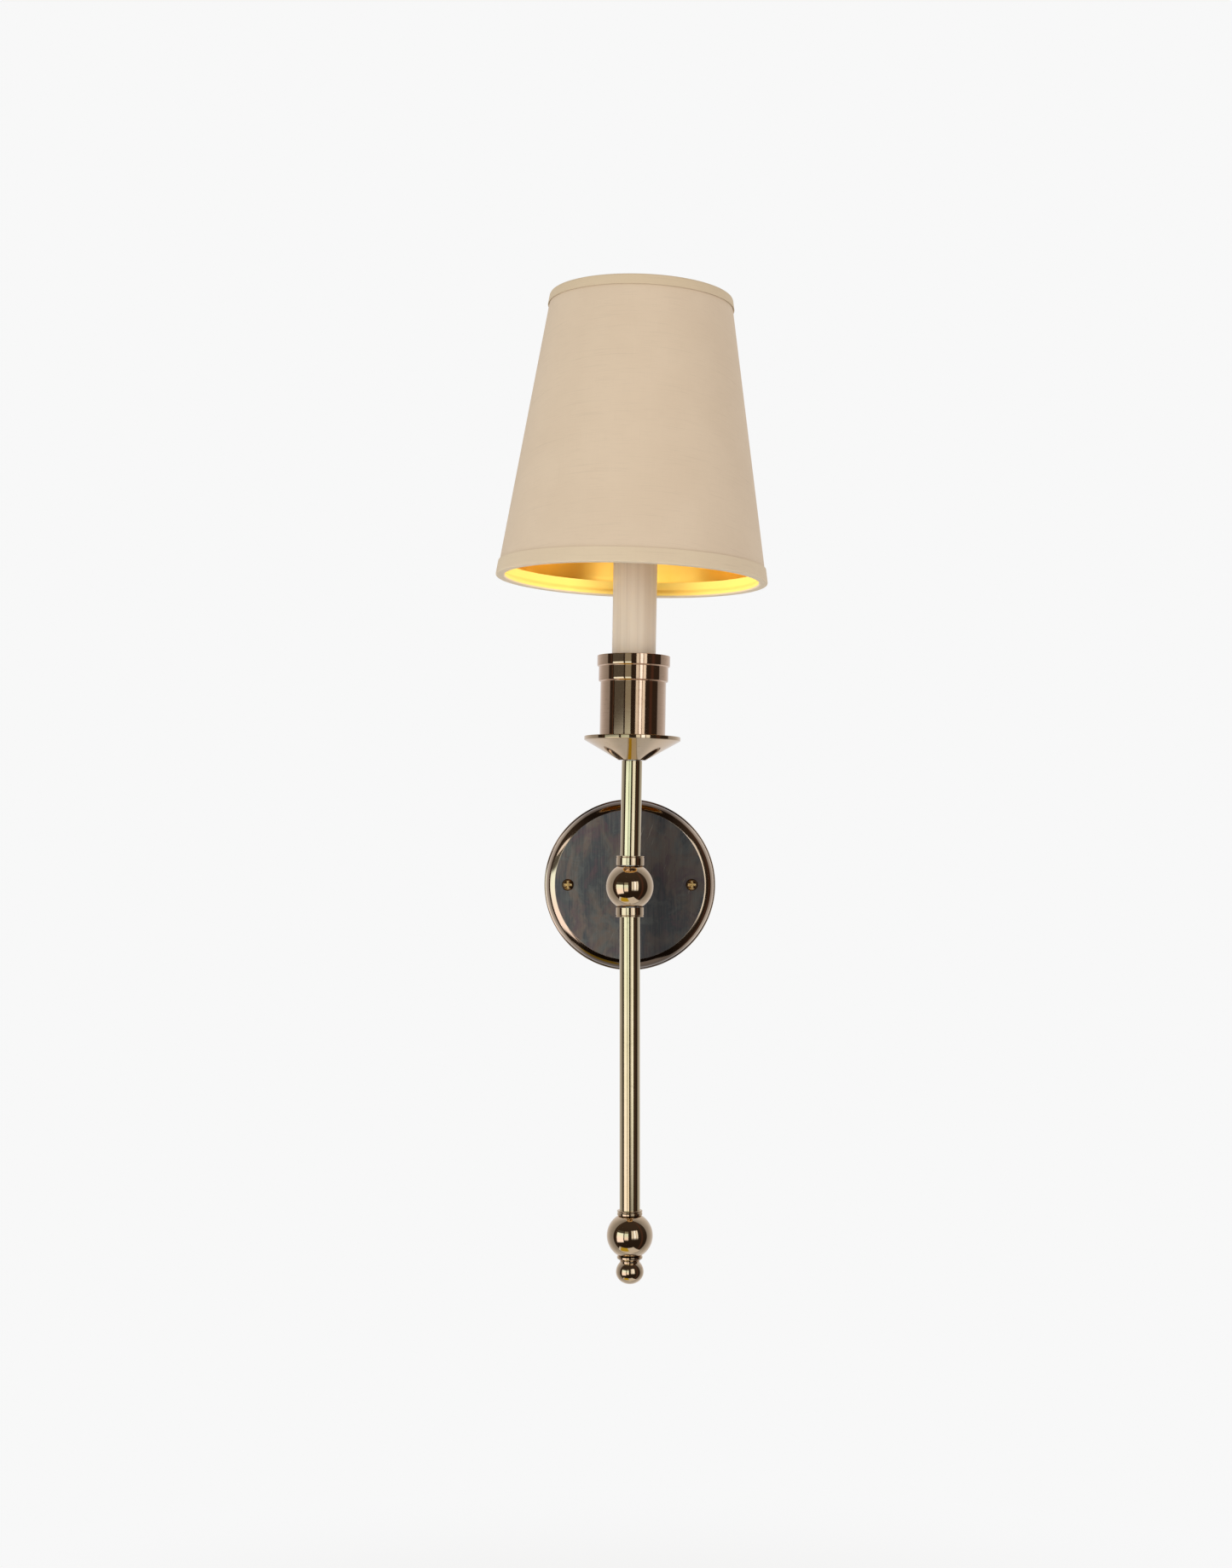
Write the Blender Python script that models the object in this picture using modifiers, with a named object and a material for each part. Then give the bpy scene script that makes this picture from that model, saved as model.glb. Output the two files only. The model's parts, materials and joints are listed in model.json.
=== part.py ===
"""Wall sconce: an electric candle light with a clip-on fabric shade, on a round wall plate.

Metres, +Z up. The wall is the plane y = 0, and the light stands out from it towards -Y.
The origin is the centre of the mounting strap's back face, level with the ball of the stem.
A radius, a height on the stem and a distance out from the wall are each written once below.
"""

import math

import bmesh
import bpy
from mathutils import Matrix, Vector

GAP = 0.0003  # left between pieces that touch

# Wall side. "Out" is the distance from the wall.
PLATE_RADIUS = 0.0537
PLATE_DEPTH = 0.014
PLATE_WALL = 0.0015
PLATE_EDGE_WIDTH = 0.0055
PLATE_EDGE_DEPTH = 0.0065
STRAP_END_INSET = 0.0077  # from the plate's edge to the strap's end
STRAP_CORNER = 0.004
STRAP_WIDTH = 0.020
STRAP_THICKNESS = 0.0015
STRAP_SLOT_INSET = 0.0137  # from a screw's axis to the middle of its slot
STRAP_SLOT_LENGTH = 0.012
STRAP_SLOT_WIDTH = 0.005
STRAP_NUT_RADIUS = 0.0044
STRAP_NUT_HEIGHT = 0.004
SCREW_INSET = 0.015  # from the plate's edge to a screw's axis
SCREW_RADIUS = 0.00195
SCREW_HEAD_RADIUS = 0.0037
SCREW_HEAD_HEIGHT = 0.0024
SCREW_END_OUT = 0.0006
SCREW_CROSS_LENGTH = 0.0046
SCREW_CROSS_WIDTH = 0.0009
SCREW_CROSS_DEPTH = 0.0013

# Tubes, and the hollow threaded nipples that join them.
PROJECTION = 0.095
TUBE_RADIUS = 0.006
TUBE_WALL = 0.0007
NIPPLE_WALL = 0.0013
NIPPLE_HOLD = 0.013
NIPPLE_PAST_NUT = 0.0005
NIPPLE_CLEAR = 0.002  # between the nipples that meet inside the ball
LOCKNUT_WALL = 0.0025
LOCKNUT_HEIGHT = 0.0025
WASHER_WALL = 0.004
WASHER_THICKNESS = 0.001
TAG_WALL = 0.0032
TAG_THICKNESS = 0.0006
TAG_TAB_LENGTH = 0.0165
TAG_TAB_WIDTH = 0.005
ARM_COLLAR_WALL = 0.005
ARM_COLLAR_HEIGHT = 0.005

# Ball of the stem and its three collars.
BALL_RADIUS = 0.0141
BALL_COLLAR_WALL = 0.0023
BALL_COLLAR_HEIGHT = 0.0065
COLLAR_SOCKET = 0.0022
COLLAR_LEDGE = 0.0008
STEM_RISE = 0.0739
STEM_DROP = 0.1897

# Finial under the stem.
FINIAL_COLLAR_WALL = 0.0015
FINIAL_COLLAR_HEIGHT = 0.0037
FINIAL_SOCKET = 0.0013
FINIAL_BALL_RADIUS = 0.0135
FINIAL_LOWER_COLLAR_HEIGHT = 0.0033
FINIAL_NECK_RADIUS = 0.00575
FINIAL_NECK_HEIGHT = 0.0007
FINIAL_TIP_RADIUS = 0.00817
FINIAL_STUD_RADIUS = 0.002

# Drip dish and candle cup.
DISH_RADIUS = 0.02825
DISH_FOOT_LEDGE = 0.0019  # how far the dish's foot stands out past the tube
DISH_RISE = 0.0116
DISH_RIM_HEIGHT = 0.0022
DISH_WALL = 0.0011
CUP_RADIUS = 0.01925
CUP_WALL = 0.0016
CUP_FLOOR = 0.002
CUP_HEIGHT = 0.0531
CUP_TOP_RING_HEIGHT = 0.0060
CUP_TOP_RING_PROUD = 0.00215
CUP_LOWER_RING_HEIGHT = 0.0088
CUP_LOWER_RING_PROUD = 0.00115
CUP_SPACER_WALL = 0.0022

# Candle sleeve and the small screw lampholder inside it.
SLEEVE_RADIUS = 0.01285
SLEEVE_WALL = 0.0009
SLEEVE_LENGTH = 0.1208
HOLDER_SLACK = 0.0005
HOLDER_RECESS = 0.002
HOLDER_CAP_HEIGHT = 0.0097
HOLDER_CAP_FLOOR = 0.003
HOLDER_CAP_WALL = 0.0014
HOLDER_BODY_HEIGHT = 0.0267
HOLDER_BODY_FLOOR = 0.0047
HOLDER_CONTACT_RADIUS = 0.0022
HOLDER_CONTACT_DISC = 0.0040
HOLDER_CONTACT_DISC_HEIGHT = 0.0010
HOLDER_SHELL_WALL = 0.0008
HOLDER_SPIGOT_LENGTH = 0.006
HOLDER_SPIGOT_PROUD = 0.001
HOLDER_SHELL_RECESS = 0.001
HOLDER_PIN_PROUD = 0.001
RISER_WALL = 0.0014

# Bulb with a 14 mm screw cap.
BULB_CAP_RADIUS = 0.007
BULB_CAP_WALL = 0.0004
BULB_CAP_HEIGHT = 0.020
BULB_CONTACT_RADIUS = 0.0022
BULB_CONTACT_HEIGHT = 0.0014
BULB_INSULATOR_HEIGHT = 0.0024
BULB_GLASS_WALL = 0.0008
BULB_GLASS_RADIUS = 0.0175
BULB_NECK_IN_CAP = 0.010
BULB_SHOULDER = 0.022
BULB_TAPER = 0.054
BULB_CAP_STEP = 0.0020
BULB_CAP_LIP = 0.0005
BULB_MOUNT_CLEAR = 0.0023
BULB_MOUNT_HEIGHT = 0.024
BULB_MOUNT_NECK = 0.008
BULB_MOUNT_FLARE = 0.014
FILAMENT_RADIUS = 0.0004
FILAMENT_HEIGHT = 0.030
FILAMENT_SPREAD = 0.006
FILAMENT_FOOT = 0.0010
FILAMENT_SHOULDER = 0.008
FILAMENT_BEND = 0.003

# Sprung wire clip on the bulb, and the bar that the shade tilts on.
CLIP_WIRE_RADIUS = 0.0008
CLIP_LOOP_HEIGHT = 0.026
CLIP_LOOP_ANGLE = 44.0
CLIP_LEG_X = 0.0030
CLIP_LEG_Y = 0.0016
YOKE_RADIUS = 0.0048
YOKE_HEIGHT = 0.008
YOKE_CHAMFER = 0.001
CLIP_LEGS_TOGETHER = 0.004  # above the tip of the bulb
PIVOT_ABOVE_BULB = 0.013
SPIDER_WIRE_RADIUS = 0.0012
SPIDER_STRAIGHT = 0.011
SPIDER_LANDING = 0.006
SPIDER_BEND = 0.012

# Shade: a cone of fabric on two wire rings, lined, with a folded trim at both edges.
SHADE_HEIGHT = 0.1658
SHADE_BOTTOM_RADIUS = 0.0798
SHADE_TOP_RADIUS = 0.0537
SHADE_BELOW_PIVOT = 0.1171
COVER_THICKNESS = 0.0006
LINING_THICKNESS = 0.0004
TRIM_THICKNESS = 0.0005
BOTTOM_TRIM_HEIGHT = 0.0085
BOTTOM_TRIM_INSIDE = 0.007
TOP_TRIM_HEIGHT = 0.006
TOP_TRIM_INSIDE = 0.006
RING_WIRE_RADIUS = 0.001

# Wiring.
WIRE_RADIUS = 0.0009
WIRE_OFFSET = 0.0014
WIRE_BEND = 0.006
NEUTRAL_OFFSET = 0.006
WIRE_CLEAR_OF_NUT = 0.001
WIRE_STRAIGHT_IN_BLOCK = 0.002
WIRE_STRAIGHT_AT_PIN = 0.0012
BLOCK_WIDTH = 0.026
BLOCK_HEIGHT = 0.018
BLOCK_DEPTH = 0.009
BLOCK_CLEAR_OF_STRAP = 0.006
BLOCK_PITCH = 0.008
BLOCK_BORE_RADIUS = 0.0013
BLOCK_WELL_RADIUS = 0.0018
BLOCK_CORNER = 0.001

# Set of the light: the upper stem is not quite square in the ball, and the shade tilts on its clip.
UPPER_LEAN = math.radians(1.0)
SHADE_TILT = math.radians(1.0)

WELD = 0.00001
LARGE_STEPS = 32
ROUND_STEPS = 20
SMALL_STEPS = 12
SHARP_ANGLE = math.radians(32)
PAST = 0.002  # how far a cutter runs past what it cuts

# Sizes that follow from the ones above.
NIPPLE_RADIUS = TUBE_RADIUS - TUBE_WALL - GAP
NIPPLE_BORE = NIPPLE_RADIUS - NIPPLE_WALL
NIPPLE_HOLE = NIPPLE_RADIUS + GAP
TUBE_HOLE = TUBE_RADIUS + GAP
LOCKNUT_FLATS = 2 * (NIPPLE_RADIUS + LOCKNUT_WALL)
WASHER_RADIUS = NIPPLE_RADIUS + WASHER_WALL
TAG_RADIUS = NIPPLE_RADIUS + TAG_WALL
ARM_COLLAR_RADIUS = TUBE_RADIUS + ARM_COLLAR_WALL
FINIAL_COLLAR_RADIUS = TUBE_RADIUS + FINIAL_COLLAR_WALL
DISH_BASE_RADIUS = TUBE_RADIUS + DISH_FOOT_LEDGE
SCREW_HOLE = SCREW_RADIUS + GAP
SCREW_SPACING = 2 * (PLATE_RADIUS - SCREW_INSET)
STRAP_LENGTH = 2 * (PLATE_RADIUS - STRAP_END_INSET)
STRAP_SLOT_SPACING = SCREW_SPACING - 2 * STRAP_SLOT_INSET
PLATE_INSIDE_OUT = PLATE_DEPTH - PLATE_WALL
BALL_COLLAR_RADIUS = TUBE_RADIUS + BALL_COLLAR_WALL
BALL_FLAT_RADIUS = BALL_COLLAR_RADIUS - COLLAR_LEDGE
BALL_FLAT = math.sqrt(BALL_RADIUS**2 - BALL_FLAT_RADIUS**2)
COLLAR_FAR_FACE = math.sqrt(BALL_RADIUS**2 - BALL_COLLAR_RADIUS**2) + BALL_COLLAR_HEIGHT
TUBE_START = COLLAR_FAR_FACE - COLLAR_SOCKET + GAP
BALL_NIPPLE_END = NIPPLE_RADIUS + NIPPLE_CLEAR
BALL_NIPPLE_LENGTH = TUBE_START + NIPPLE_HOLD - BALL_NIPPLE_END


def collection(name):
    made = bpy.data.collections.new(name)
    bpy.context.scene.collection.children.link(made)
    return made


def material(name, colour, roughness, metallic):
    made = bpy.data.materials.new(name)
    made.use_nodes = True
    shader = made.node_tree.nodes["Principled BSDF"]
    shader.inputs["Base Color"].default_value = (*colour, 1)
    shader.inputs["Roughness"].default_value = roughness
    shader.inputs["Metallic"].default_value = metallic
    made.diffuse_color = (*colour, 1)
    return made


def empty(name, location=(0, 0, 0), rotation=(0, 0, 0), parent=None):
    made = bpy.data.objects.new(name, None)
    made.location = location
    made.rotation_euler = rotation
    made.parent = parent
    made.empty_display_size = 0.01
    parts.objects.link(made)
    return made


def placed(name, data, parent, at):
    made = bpy.data.objects.new(name, data)
    made.parent = parent
    made.location = at
    parts.objects.link(made)
    return made


def as_mesh(obj):
    """Replaces a curve or a modified mesh by the closed mesh that it makes, and returns it."""
    graph = bpy.context.evaluated_depsgraph_get()
    mesh = bpy.data.meshes.new_from_object(obj.evaluated_get(graph))
    name, parent, at = obj.name, obj.parent, obj.location.copy()
    bpy.data.objects.remove(obj)
    mesh.name = name
    made = placed(name, mesh, parent, at)
    welded = weld(mesh)
    welded.shade_smooth()
    welded.set_sharp_from_angle(angle=SHARP_ANGLE)
    return made


def weld(mesh):
    shape = bmesh.new()
    shape.from_mesh(mesh)
    bmesh.ops.remove_doubles(shape, verts=shape.verts, dist=WELD)
    shape.to_mesh(mesh)
    shape.free()
    return mesh


def finished(obj, finish):
    obj.data.materials.clear()
    obj.data.materials.append(finish)
    return obj


def turned(name, outline, finish, parent, at=(0, 0, 0), steps=ROUND_STEPS):
    """Turns an outline of (radius, height) pairs about its own Z.

    The outline runs down the outer side. It starts and ends on the axis on a solid piece, and
    comes back up the bore on a hollow one.
    """
    mesh = bpy.data.meshes.new(name)
    edges = [(i, i + 1) for i in range(len(outline) - 1)]
    if outline[0][0] > 0:
        edges.append((len(outline) - 1, 0))
    mesh.from_pydata([(radius, 0, height) for radius, height in outline], edges, [])
    obj = placed(name, mesh, parent, at)
    screw = obj.modifiers.new("turn", "SCREW")
    screw.axis = "Z"
    screw.steps = screw.render_steps = steps
    screw.use_merge_vertices = True
    screw.merge_threshold = WELD
    return finished(as_mesh(obj), finish)


def tube(name, radius, bore, length, finish, parent, at=(0, 0, 0), steps=SMALL_STEPS):
    outline = [(radius, length), (radius, 0), (bore, 0), (bore, length)]
    return turned(name, outline, finish, parent, at, steps)


def wire(name, points, radius, finish, parent, closed=False):
    """A round wire along the points, which are in the parent's frame."""
    curve = bpy.data.curves.new(name, "CURVE")
    curve.dimensions = "3D"
    curve.bevel_depth = radius
    curve.bevel_resolution = 2
    curve.use_fill_caps = True
    spline = curve.splines.new("POLY")
    spline.points.add(len(points) - 1)
    for target, point in zip(spline.points, points):
        target.co = (*point, 1)
    spline.use_cyclic_u = closed
    return finished(as_mesh(placed(name, curve, parent, (0, 0, 0))), finish)


def plate(name, outlines, thickness, finish, parent, at=(0, 0, 0)):
    """A flat piece in its own XY plane: the first outline is its edge and the others are holes."""
    curve = bpy.data.curves.new(name, "CURVE")
    curve.dimensions = "2D"
    curve.fill_mode = "BOTH"
    curve.extrude = thickness / 2
    for outline in outlines:
        spline = curve.splines.new("POLY")
        spline.points.add(len(outline) - 1)
        for target, point in zip(spline.points, outline):
            target.co = (*point, 0, 1)
        spline.use_cyclic_u = True
    return finished(as_mesh(placed(name, curve, parent, at)), finish)


def arc(centre, radius, start, end, points):
    """Points on a circle about a centre, from one angle to another, in degrees."""
    angles = [math.radians(start + (end - start) * i / (points - 1)) for i in range(points)]
    return [(centre[0] + radius * math.cos(a), centre[1] + radius * math.sin(a)) for a in angles]


def circle(centre, radius, points=SMALL_STEPS):
    return arc(centre, radius, 0, 360, points + 1)[:-1]


def slot(centre, length, width):
    half = (length - width) / 2
    right = arc((centre[0] + half, centre[1]), width / 2, -90, 90, 7)
    left = arc((centre[0] - half, centre[1]), width / 2, 90, 270, 7)
    return right + left


def rounded(width, height, radius):
    """A rectangle about the origin with round corners."""
    corners = ((1, 1, 0), (-1, 1, 90), (-1, -1, 180), (1, -1, 270))
    points = []
    for sign_x, sign_y, start in corners:
        centre = (sign_x * (width / 2 - radius), sign_y * (height / 2 - radius))
        points += arc(centre, radius, start, start + 90, 5)
    return points


def ball_outline(radius, flat, points=7):
    """The outer side of a ball about height 0, cut flat at both ends, top to bottom."""
    start = math.degrees(math.asin(flat / radius))
    return arc((0, 0), radius, start, -start, points)


def bends(points, radius, steps=5):
    """The route through the points with each corner rounded by a curve."""
    points = [Vector(point) for point in points]
    route = [points[0]]
    for before, corner, after in zip(points, points[1:], points[2:]):
        reach = min(radius, (before - corner).length * 0.45, (after - corner).length * 0.45)
        start = corner + (before - corner).normalized() * reach
        end = corner + (after - corner).normalized() * reach
        for i in range(steps + 1):
            t = i / steps
            route.append(start * (1 - t) ** 2 + corner * 2 * t * (1 - t) + end * t**2)
    return route + [points[-1]]


def cutter(obj):
    """Moves a piece to the cutters, which are not part of the light."""
    parts.objects.unlink(obj)
    cutters.objects.link(obj)
    obj.hide_render = True
    obj.display_type = "WIRE"
    return obj


def cut(obj, tool):
    boolean = obj.modifiers.new(tool.name, "BOOLEAN")
    boolean.operation = "DIFFERENCE"
    boolean.solver = "EXACT"
    boolean.object = cutter(tool)


def locknut(name, height, finish, parent, at):
    """A hexagonal nut on a nipple; its flats are LOCKNUT_FLATS apart."""
    hexagon = circle((0, 0), LOCKNUT_FLATS / 2 / math.cos(math.pi / 6), 6)
    hole = circle((0, 0), NIPPLE_HOLE, ROUND_STEPS)
    return plate(name, [hexagon, hole], height, finish, parent, (at[0], at[1], at[2] + height / 2))


def washer(name, finish, parent, at):
    return tube(name, WASHER_RADIUS, NIPPLE_HOLE, WASHER_THICKNESS, finish, parent, at, ROUND_STEPS)


def make_plate():
    edge = PLATE_RADIUS - PLATE_EDGE_WIDTH
    outline = [(NIPPLE_HOLE, PLATE_DEPTH), (edge, PLATE_DEPTH)]
    for angle in range(72, -1, -18):
        a = math.radians(angle)
        outline.append((edge + PLATE_EDGE_WIDTH * math.cos(a),
                        PLATE_DEPTH - PLATE_EDGE_DEPTH * (1 - math.sin(a))))
    outline += [(PLATE_RADIUS, 0), (PLATE_RADIUS - PLATE_WALL, 0)]
    for angle in range(0, 71, 35):
        a = math.radians(angle)
        outline.append((edge + (PLATE_EDGE_WIDTH - PLATE_WALL) * math.cos(a),
                        PLATE_DEPTH - PLATE_EDGE_DEPTH + (PLATE_EDGE_DEPTH - PLATE_WALL) * math.sin(a)))
    outline += [(edge - GAP, PLATE_INSIDE_OUT), (NIPPLE_HOLE, PLATE_INSIDE_OUT)]
    backplate = turned("backplate", outline, dark_brass, wall, steps=LARGE_STEPS)
    strap_outline = rounded(STRAP_LENGTH, STRAP_WIDTH, STRAP_CORNER)
    holes = []
    for side in (-1, 1):
        holes.append(slot((side * STRAP_SLOT_SPACING / 2, 0), STRAP_SLOT_LENGTH, STRAP_SLOT_WIDTH))
        holes.append(circle((side * SCREW_SPACING / 2, 0), SCREW_HOLE))
    plate("mounting_strap", [strap_outline, *holes], STRAP_THICKNESS, steel, wall,
          (0, 0, STRAP_THICKNESS / 2))
    for side, where in ((-1, "left"), (1, "right")):
        x = side * SCREW_SPACING / 2
        hole = tube(f"hole_{where}", SCREW_HOLE, 0, PLATE_WALL + 2 * PAST, dark_brass, wall,
                    (x, 0, PLATE_INSIDE_OUT - PAST))
        cut(backplate, hole)
        tube(f"strap_nut_{where}", STRAP_NUT_RADIUS, SCREW_HOLE, STRAP_NUT_HEIGHT, steel, wall,
             (x, 0, STRAP_THICKNESS + GAP))
        make_screw(f"backplate_screw_{where}", x)


def make_screw(name, x):
    """A round-headed screw with a cross recess, from under its tip to over its head."""
    under = PLATE_DEPTH + GAP - SCREW_END_OUT
    side = SCREW_HEAD_HEIGHT * 0.2
    outline = [(0, under + SCREW_HEAD_HEIGHT)]
    for angle in range(66, -1, -22):
        a = math.radians(angle)
        outline.append((SCREW_HEAD_RADIUS * math.cos(a),
                        under + side + (SCREW_HEAD_HEIGHT - side) * math.sin(a)))
    outline += [(SCREW_HEAD_RADIUS, under), (SCREW_RADIUS, under), (SCREW_RADIUS, 0), (0, 0)]
    screw = turned(name, outline, bright_brass, wall, (x, 0, SCREW_END_OUT))
    long, wide = SCREW_CROSS_LENGTH / 2, SCREW_CROSS_WIDTH / 2
    quarter = [(long, -wide), (long, wide), (wide, wide)]
    cross = []
    for turns in range(4):
        turn = Matrix.Rotation(math.radians(90 * turns), 2)
        cross += [tuple(turn @ Vector(point)) for point in quarter]
    top = PLATE_DEPTH + GAP + SCREW_HEAD_HEIGHT
    depth = SCREW_CROSS_DEPTH + PAST
    recess = plate(f"{name}_cross", [cross], depth, steel, wall, (x, 0, top - SCREW_CROSS_DEPTH + depth / 2))
    cut(screw, recess)


def collar(name, radius, height, hole, bore, socket, finish, parent, at):
    """A collar with a bore from its lower face and a wider socket in its upper one."""
    chamfer = height * 0.08
    outline = [(hole, height), (radius - chamfer, height), (radius, height - chamfer), (radius, 0),
               (bore, 0), (bore, height - socket), (hole, height - socket)]
    return turned(name, outline, finish, parent, at)


def make_arm():
    inside = PLATE_INSIDE_OUT - GAP
    washer("arm_washer", steel, wall, (0, 0, inside - WASHER_THICKNESS))
    tag_out = inside - WASHER_THICKNESS - GAP - TAG_THICKNESS / 2
    half = TAG_TAB_WIDTH / 2
    tab_root = math.degrees(math.asin(half / TAG_RADIUS))
    tag = arc((0, 0), TAG_RADIUS, -180 + tab_root, 180 - tab_root, 21)
    tag += arc((-TAG_TAB_LENGTH + half, 0), half, 90, 270, 7)
    plate("earth_tag", [tag, circle((0, 0), NIPPLE_HOLE, ROUND_STEPS)], TAG_THICKNESS, bright_brass, wall,
          (0, 0, tag_out))
    nut_out = tag_out - TAG_THICKNESS / 2 - GAP - LOCKNUT_HEIGHT
    locknut("arm_locknut", LOCKNUT_HEIGHT, steel, wall, (0, 0, nut_out))
    tube_out = PLATE_DEPTH + GAP + ARM_COLLAR_HEIGHT - COLLAR_SOCKET + GAP
    nipple_out = nut_out - NIPPLE_PAST_NUT
    tube("arm_nipple_rear", NIPPLE_RADIUS, NIPPLE_BORE, tube_out + NIPPLE_HOLD - nipple_out, steel, wall,
         (0, 0, nipple_out))
    collar("arm_plate_collar", ARM_COLLAR_RADIUS, ARM_COLLAR_HEIGHT, TUBE_HOLE, NIPPLE_HOLE, COLLAR_SOCKET,
           brass, wall, (0, 0, PLATE_DEPTH + GAP))
    tube("arm_tube", TUBE_RADIUS, NIPPLE_HOLE, PROJECTION - TUBE_START - tube_out, brass, wall,
         (0, 0, tube_out), ROUND_STEPS)
    return nipple_out


def make_ball():
    """The ball, bored for the stem and from behind for the arm, with a collar and a nipple each way."""
    bore = NIPPLE_HOLE + BALL_FLAT * math.sin(UPPER_LEAN)
    outline = [(bore, BALL_FLAT), *ball_outline(BALL_RADIUS, BALL_FLAT), (bore, -BALL_FLAT)]
    ball = turned("centre_ball", outline, brass, stem, steps=LARGE_STEPS)
    cut(ball, tube("ball_rear_bore", NIPPLE_HOLE, 0, BALL_RADIUS + PAST, brass, rear_stem))
    cut(ball, tube("ball_rear_flat", BALL_RADIUS, 0, BALL_RADIUS, brass, rear_stem, (0, 0, BALL_FLAT)))
    branches = ((upper_stem, "ball_collar_upper", "stem_nipple_upper"),
                (lower_stem, "ball_collar_lower", "stem_nipple_lower"),
                (rear_stem, "arm_ball_collar", "arm_nipple_front"))
    for frame, collar_name, nipple_name in branches:
        collar(collar_name, BALL_COLLAR_RADIUS, COLLAR_FAR_FACE - BALL_FLAT - GAP, TUBE_HOLE, NIPPLE_HOLE,
               COLLAR_SOCKET, brass, frame, (0, 0, BALL_FLAT + GAP))
        tube(nipple_name, NIPPLE_RADIUS, NIPPLE_BORE, BALL_NIPPLE_LENGTH, steel, frame,
             (0, 0, BALL_NIPPLE_END))


def make_finial():
    """The lower tube, and the turned finial that a stud holds under it. Depths run down from the ball."""
    tube("stem_tube_lower", TUBE_RADIUS, NIPPLE_HOLE, STEM_DROP + FINIAL_SOCKET - GAP - TUBE_START, brass,
         lower_stem, (0, 0, TUBE_START), ROUND_STEPS)
    ledge = FINIAL_COLLAR_RADIUS - COLLAR_LEDGE
    flat = math.sqrt(FINIAL_BALL_RADIUS**2 - ledge**2)
    seat = math.sqrt(FINIAL_BALL_RADIUS**2 - FINIAL_COLLAR_RADIUS**2)
    ball_centre = STEM_DROP + FINIAL_COLLAR_HEIGHT + seat
    hole = FINIAL_STUD_RADIUS + GAP
    height = ball_centre - flat - GAP - STEM_DROP
    outline = [(hole, 0), (FINIAL_COLLAR_RADIUS, 0), (FINIAL_COLLAR_RADIUS, -height), (TUBE_HOLE, -height),
               (TUBE_HOLE, FINIAL_SOCKET - height), (hole, FINIAL_SOCKET - height)]
    turned("finial_collar_upper", outline, brass, lower_stem, (0, 0, ball_centre - flat - GAP))
    outline = [(hole, flat), *ball_outline(FINIAL_BALL_RADIUS, flat), (hole, -flat)]
    turned("finial_ball", outline, brass, lower_stem, (0, 0, ball_centre), LARGE_STEPS)
    collar_start = ball_centre + flat + GAP
    collar_end = ball_centre + seat + FINIAL_LOWER_COLLAR_HEIGHT
    tube("finial_collar_lower", FINIAL_COLLAR_RADIUS, hole, collar_end - collar_start, brass, lower_stem,
         (0, 0, collar_start), ROUND_STEPS)
    tip_start = collar_end + GAP
    neck_angle = math.degrees(math.acos(FINIAL_NECK_RADIUS / FINIAL_TIP_RADIUS))
    tip_centre = tip_start + FINIAL_NECK_HEIGHT + math.sqrt(FINIAL_TIP_RADIUS**2 - FINIAL_NECK_RADIUS**2)
    stud_end = tip_centre
    outline = [(0, tip_centre + FINIAL_TIP_RADIUS)]
    outline += [(r, tip_centre + h) for r, h in arc((0, 0), FINIAL_TIP_RADIUS, 74, -neck_angle, 8)]
    outline += [(FINIAL_NECK_RADIUS, tip_start), (hole, tip_start), (hole, stud_end + GAP),
                (0, stud_end + GAP)]
    turned("finial_tip", outline, brass, lower_stem)
    plug_end = STEM_DROP + FINIAL_SOCKET - GAP
    outline = [(0, stud_end), (FINIAL_STUD_RADIUS, stud_end), (FINIAL_STUD_RADIUS, plug_end),
               (NIPPLE_RADIUS, plug_end), (NIPPLE_RADIUS, plug_end - NIPPLE_HOLD),
               (0, plug_end - NIPPLE_HOLD)]
    turned("finial_stud", outline, steel, lower_stem, steps=SMALL_STEPS)


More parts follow.
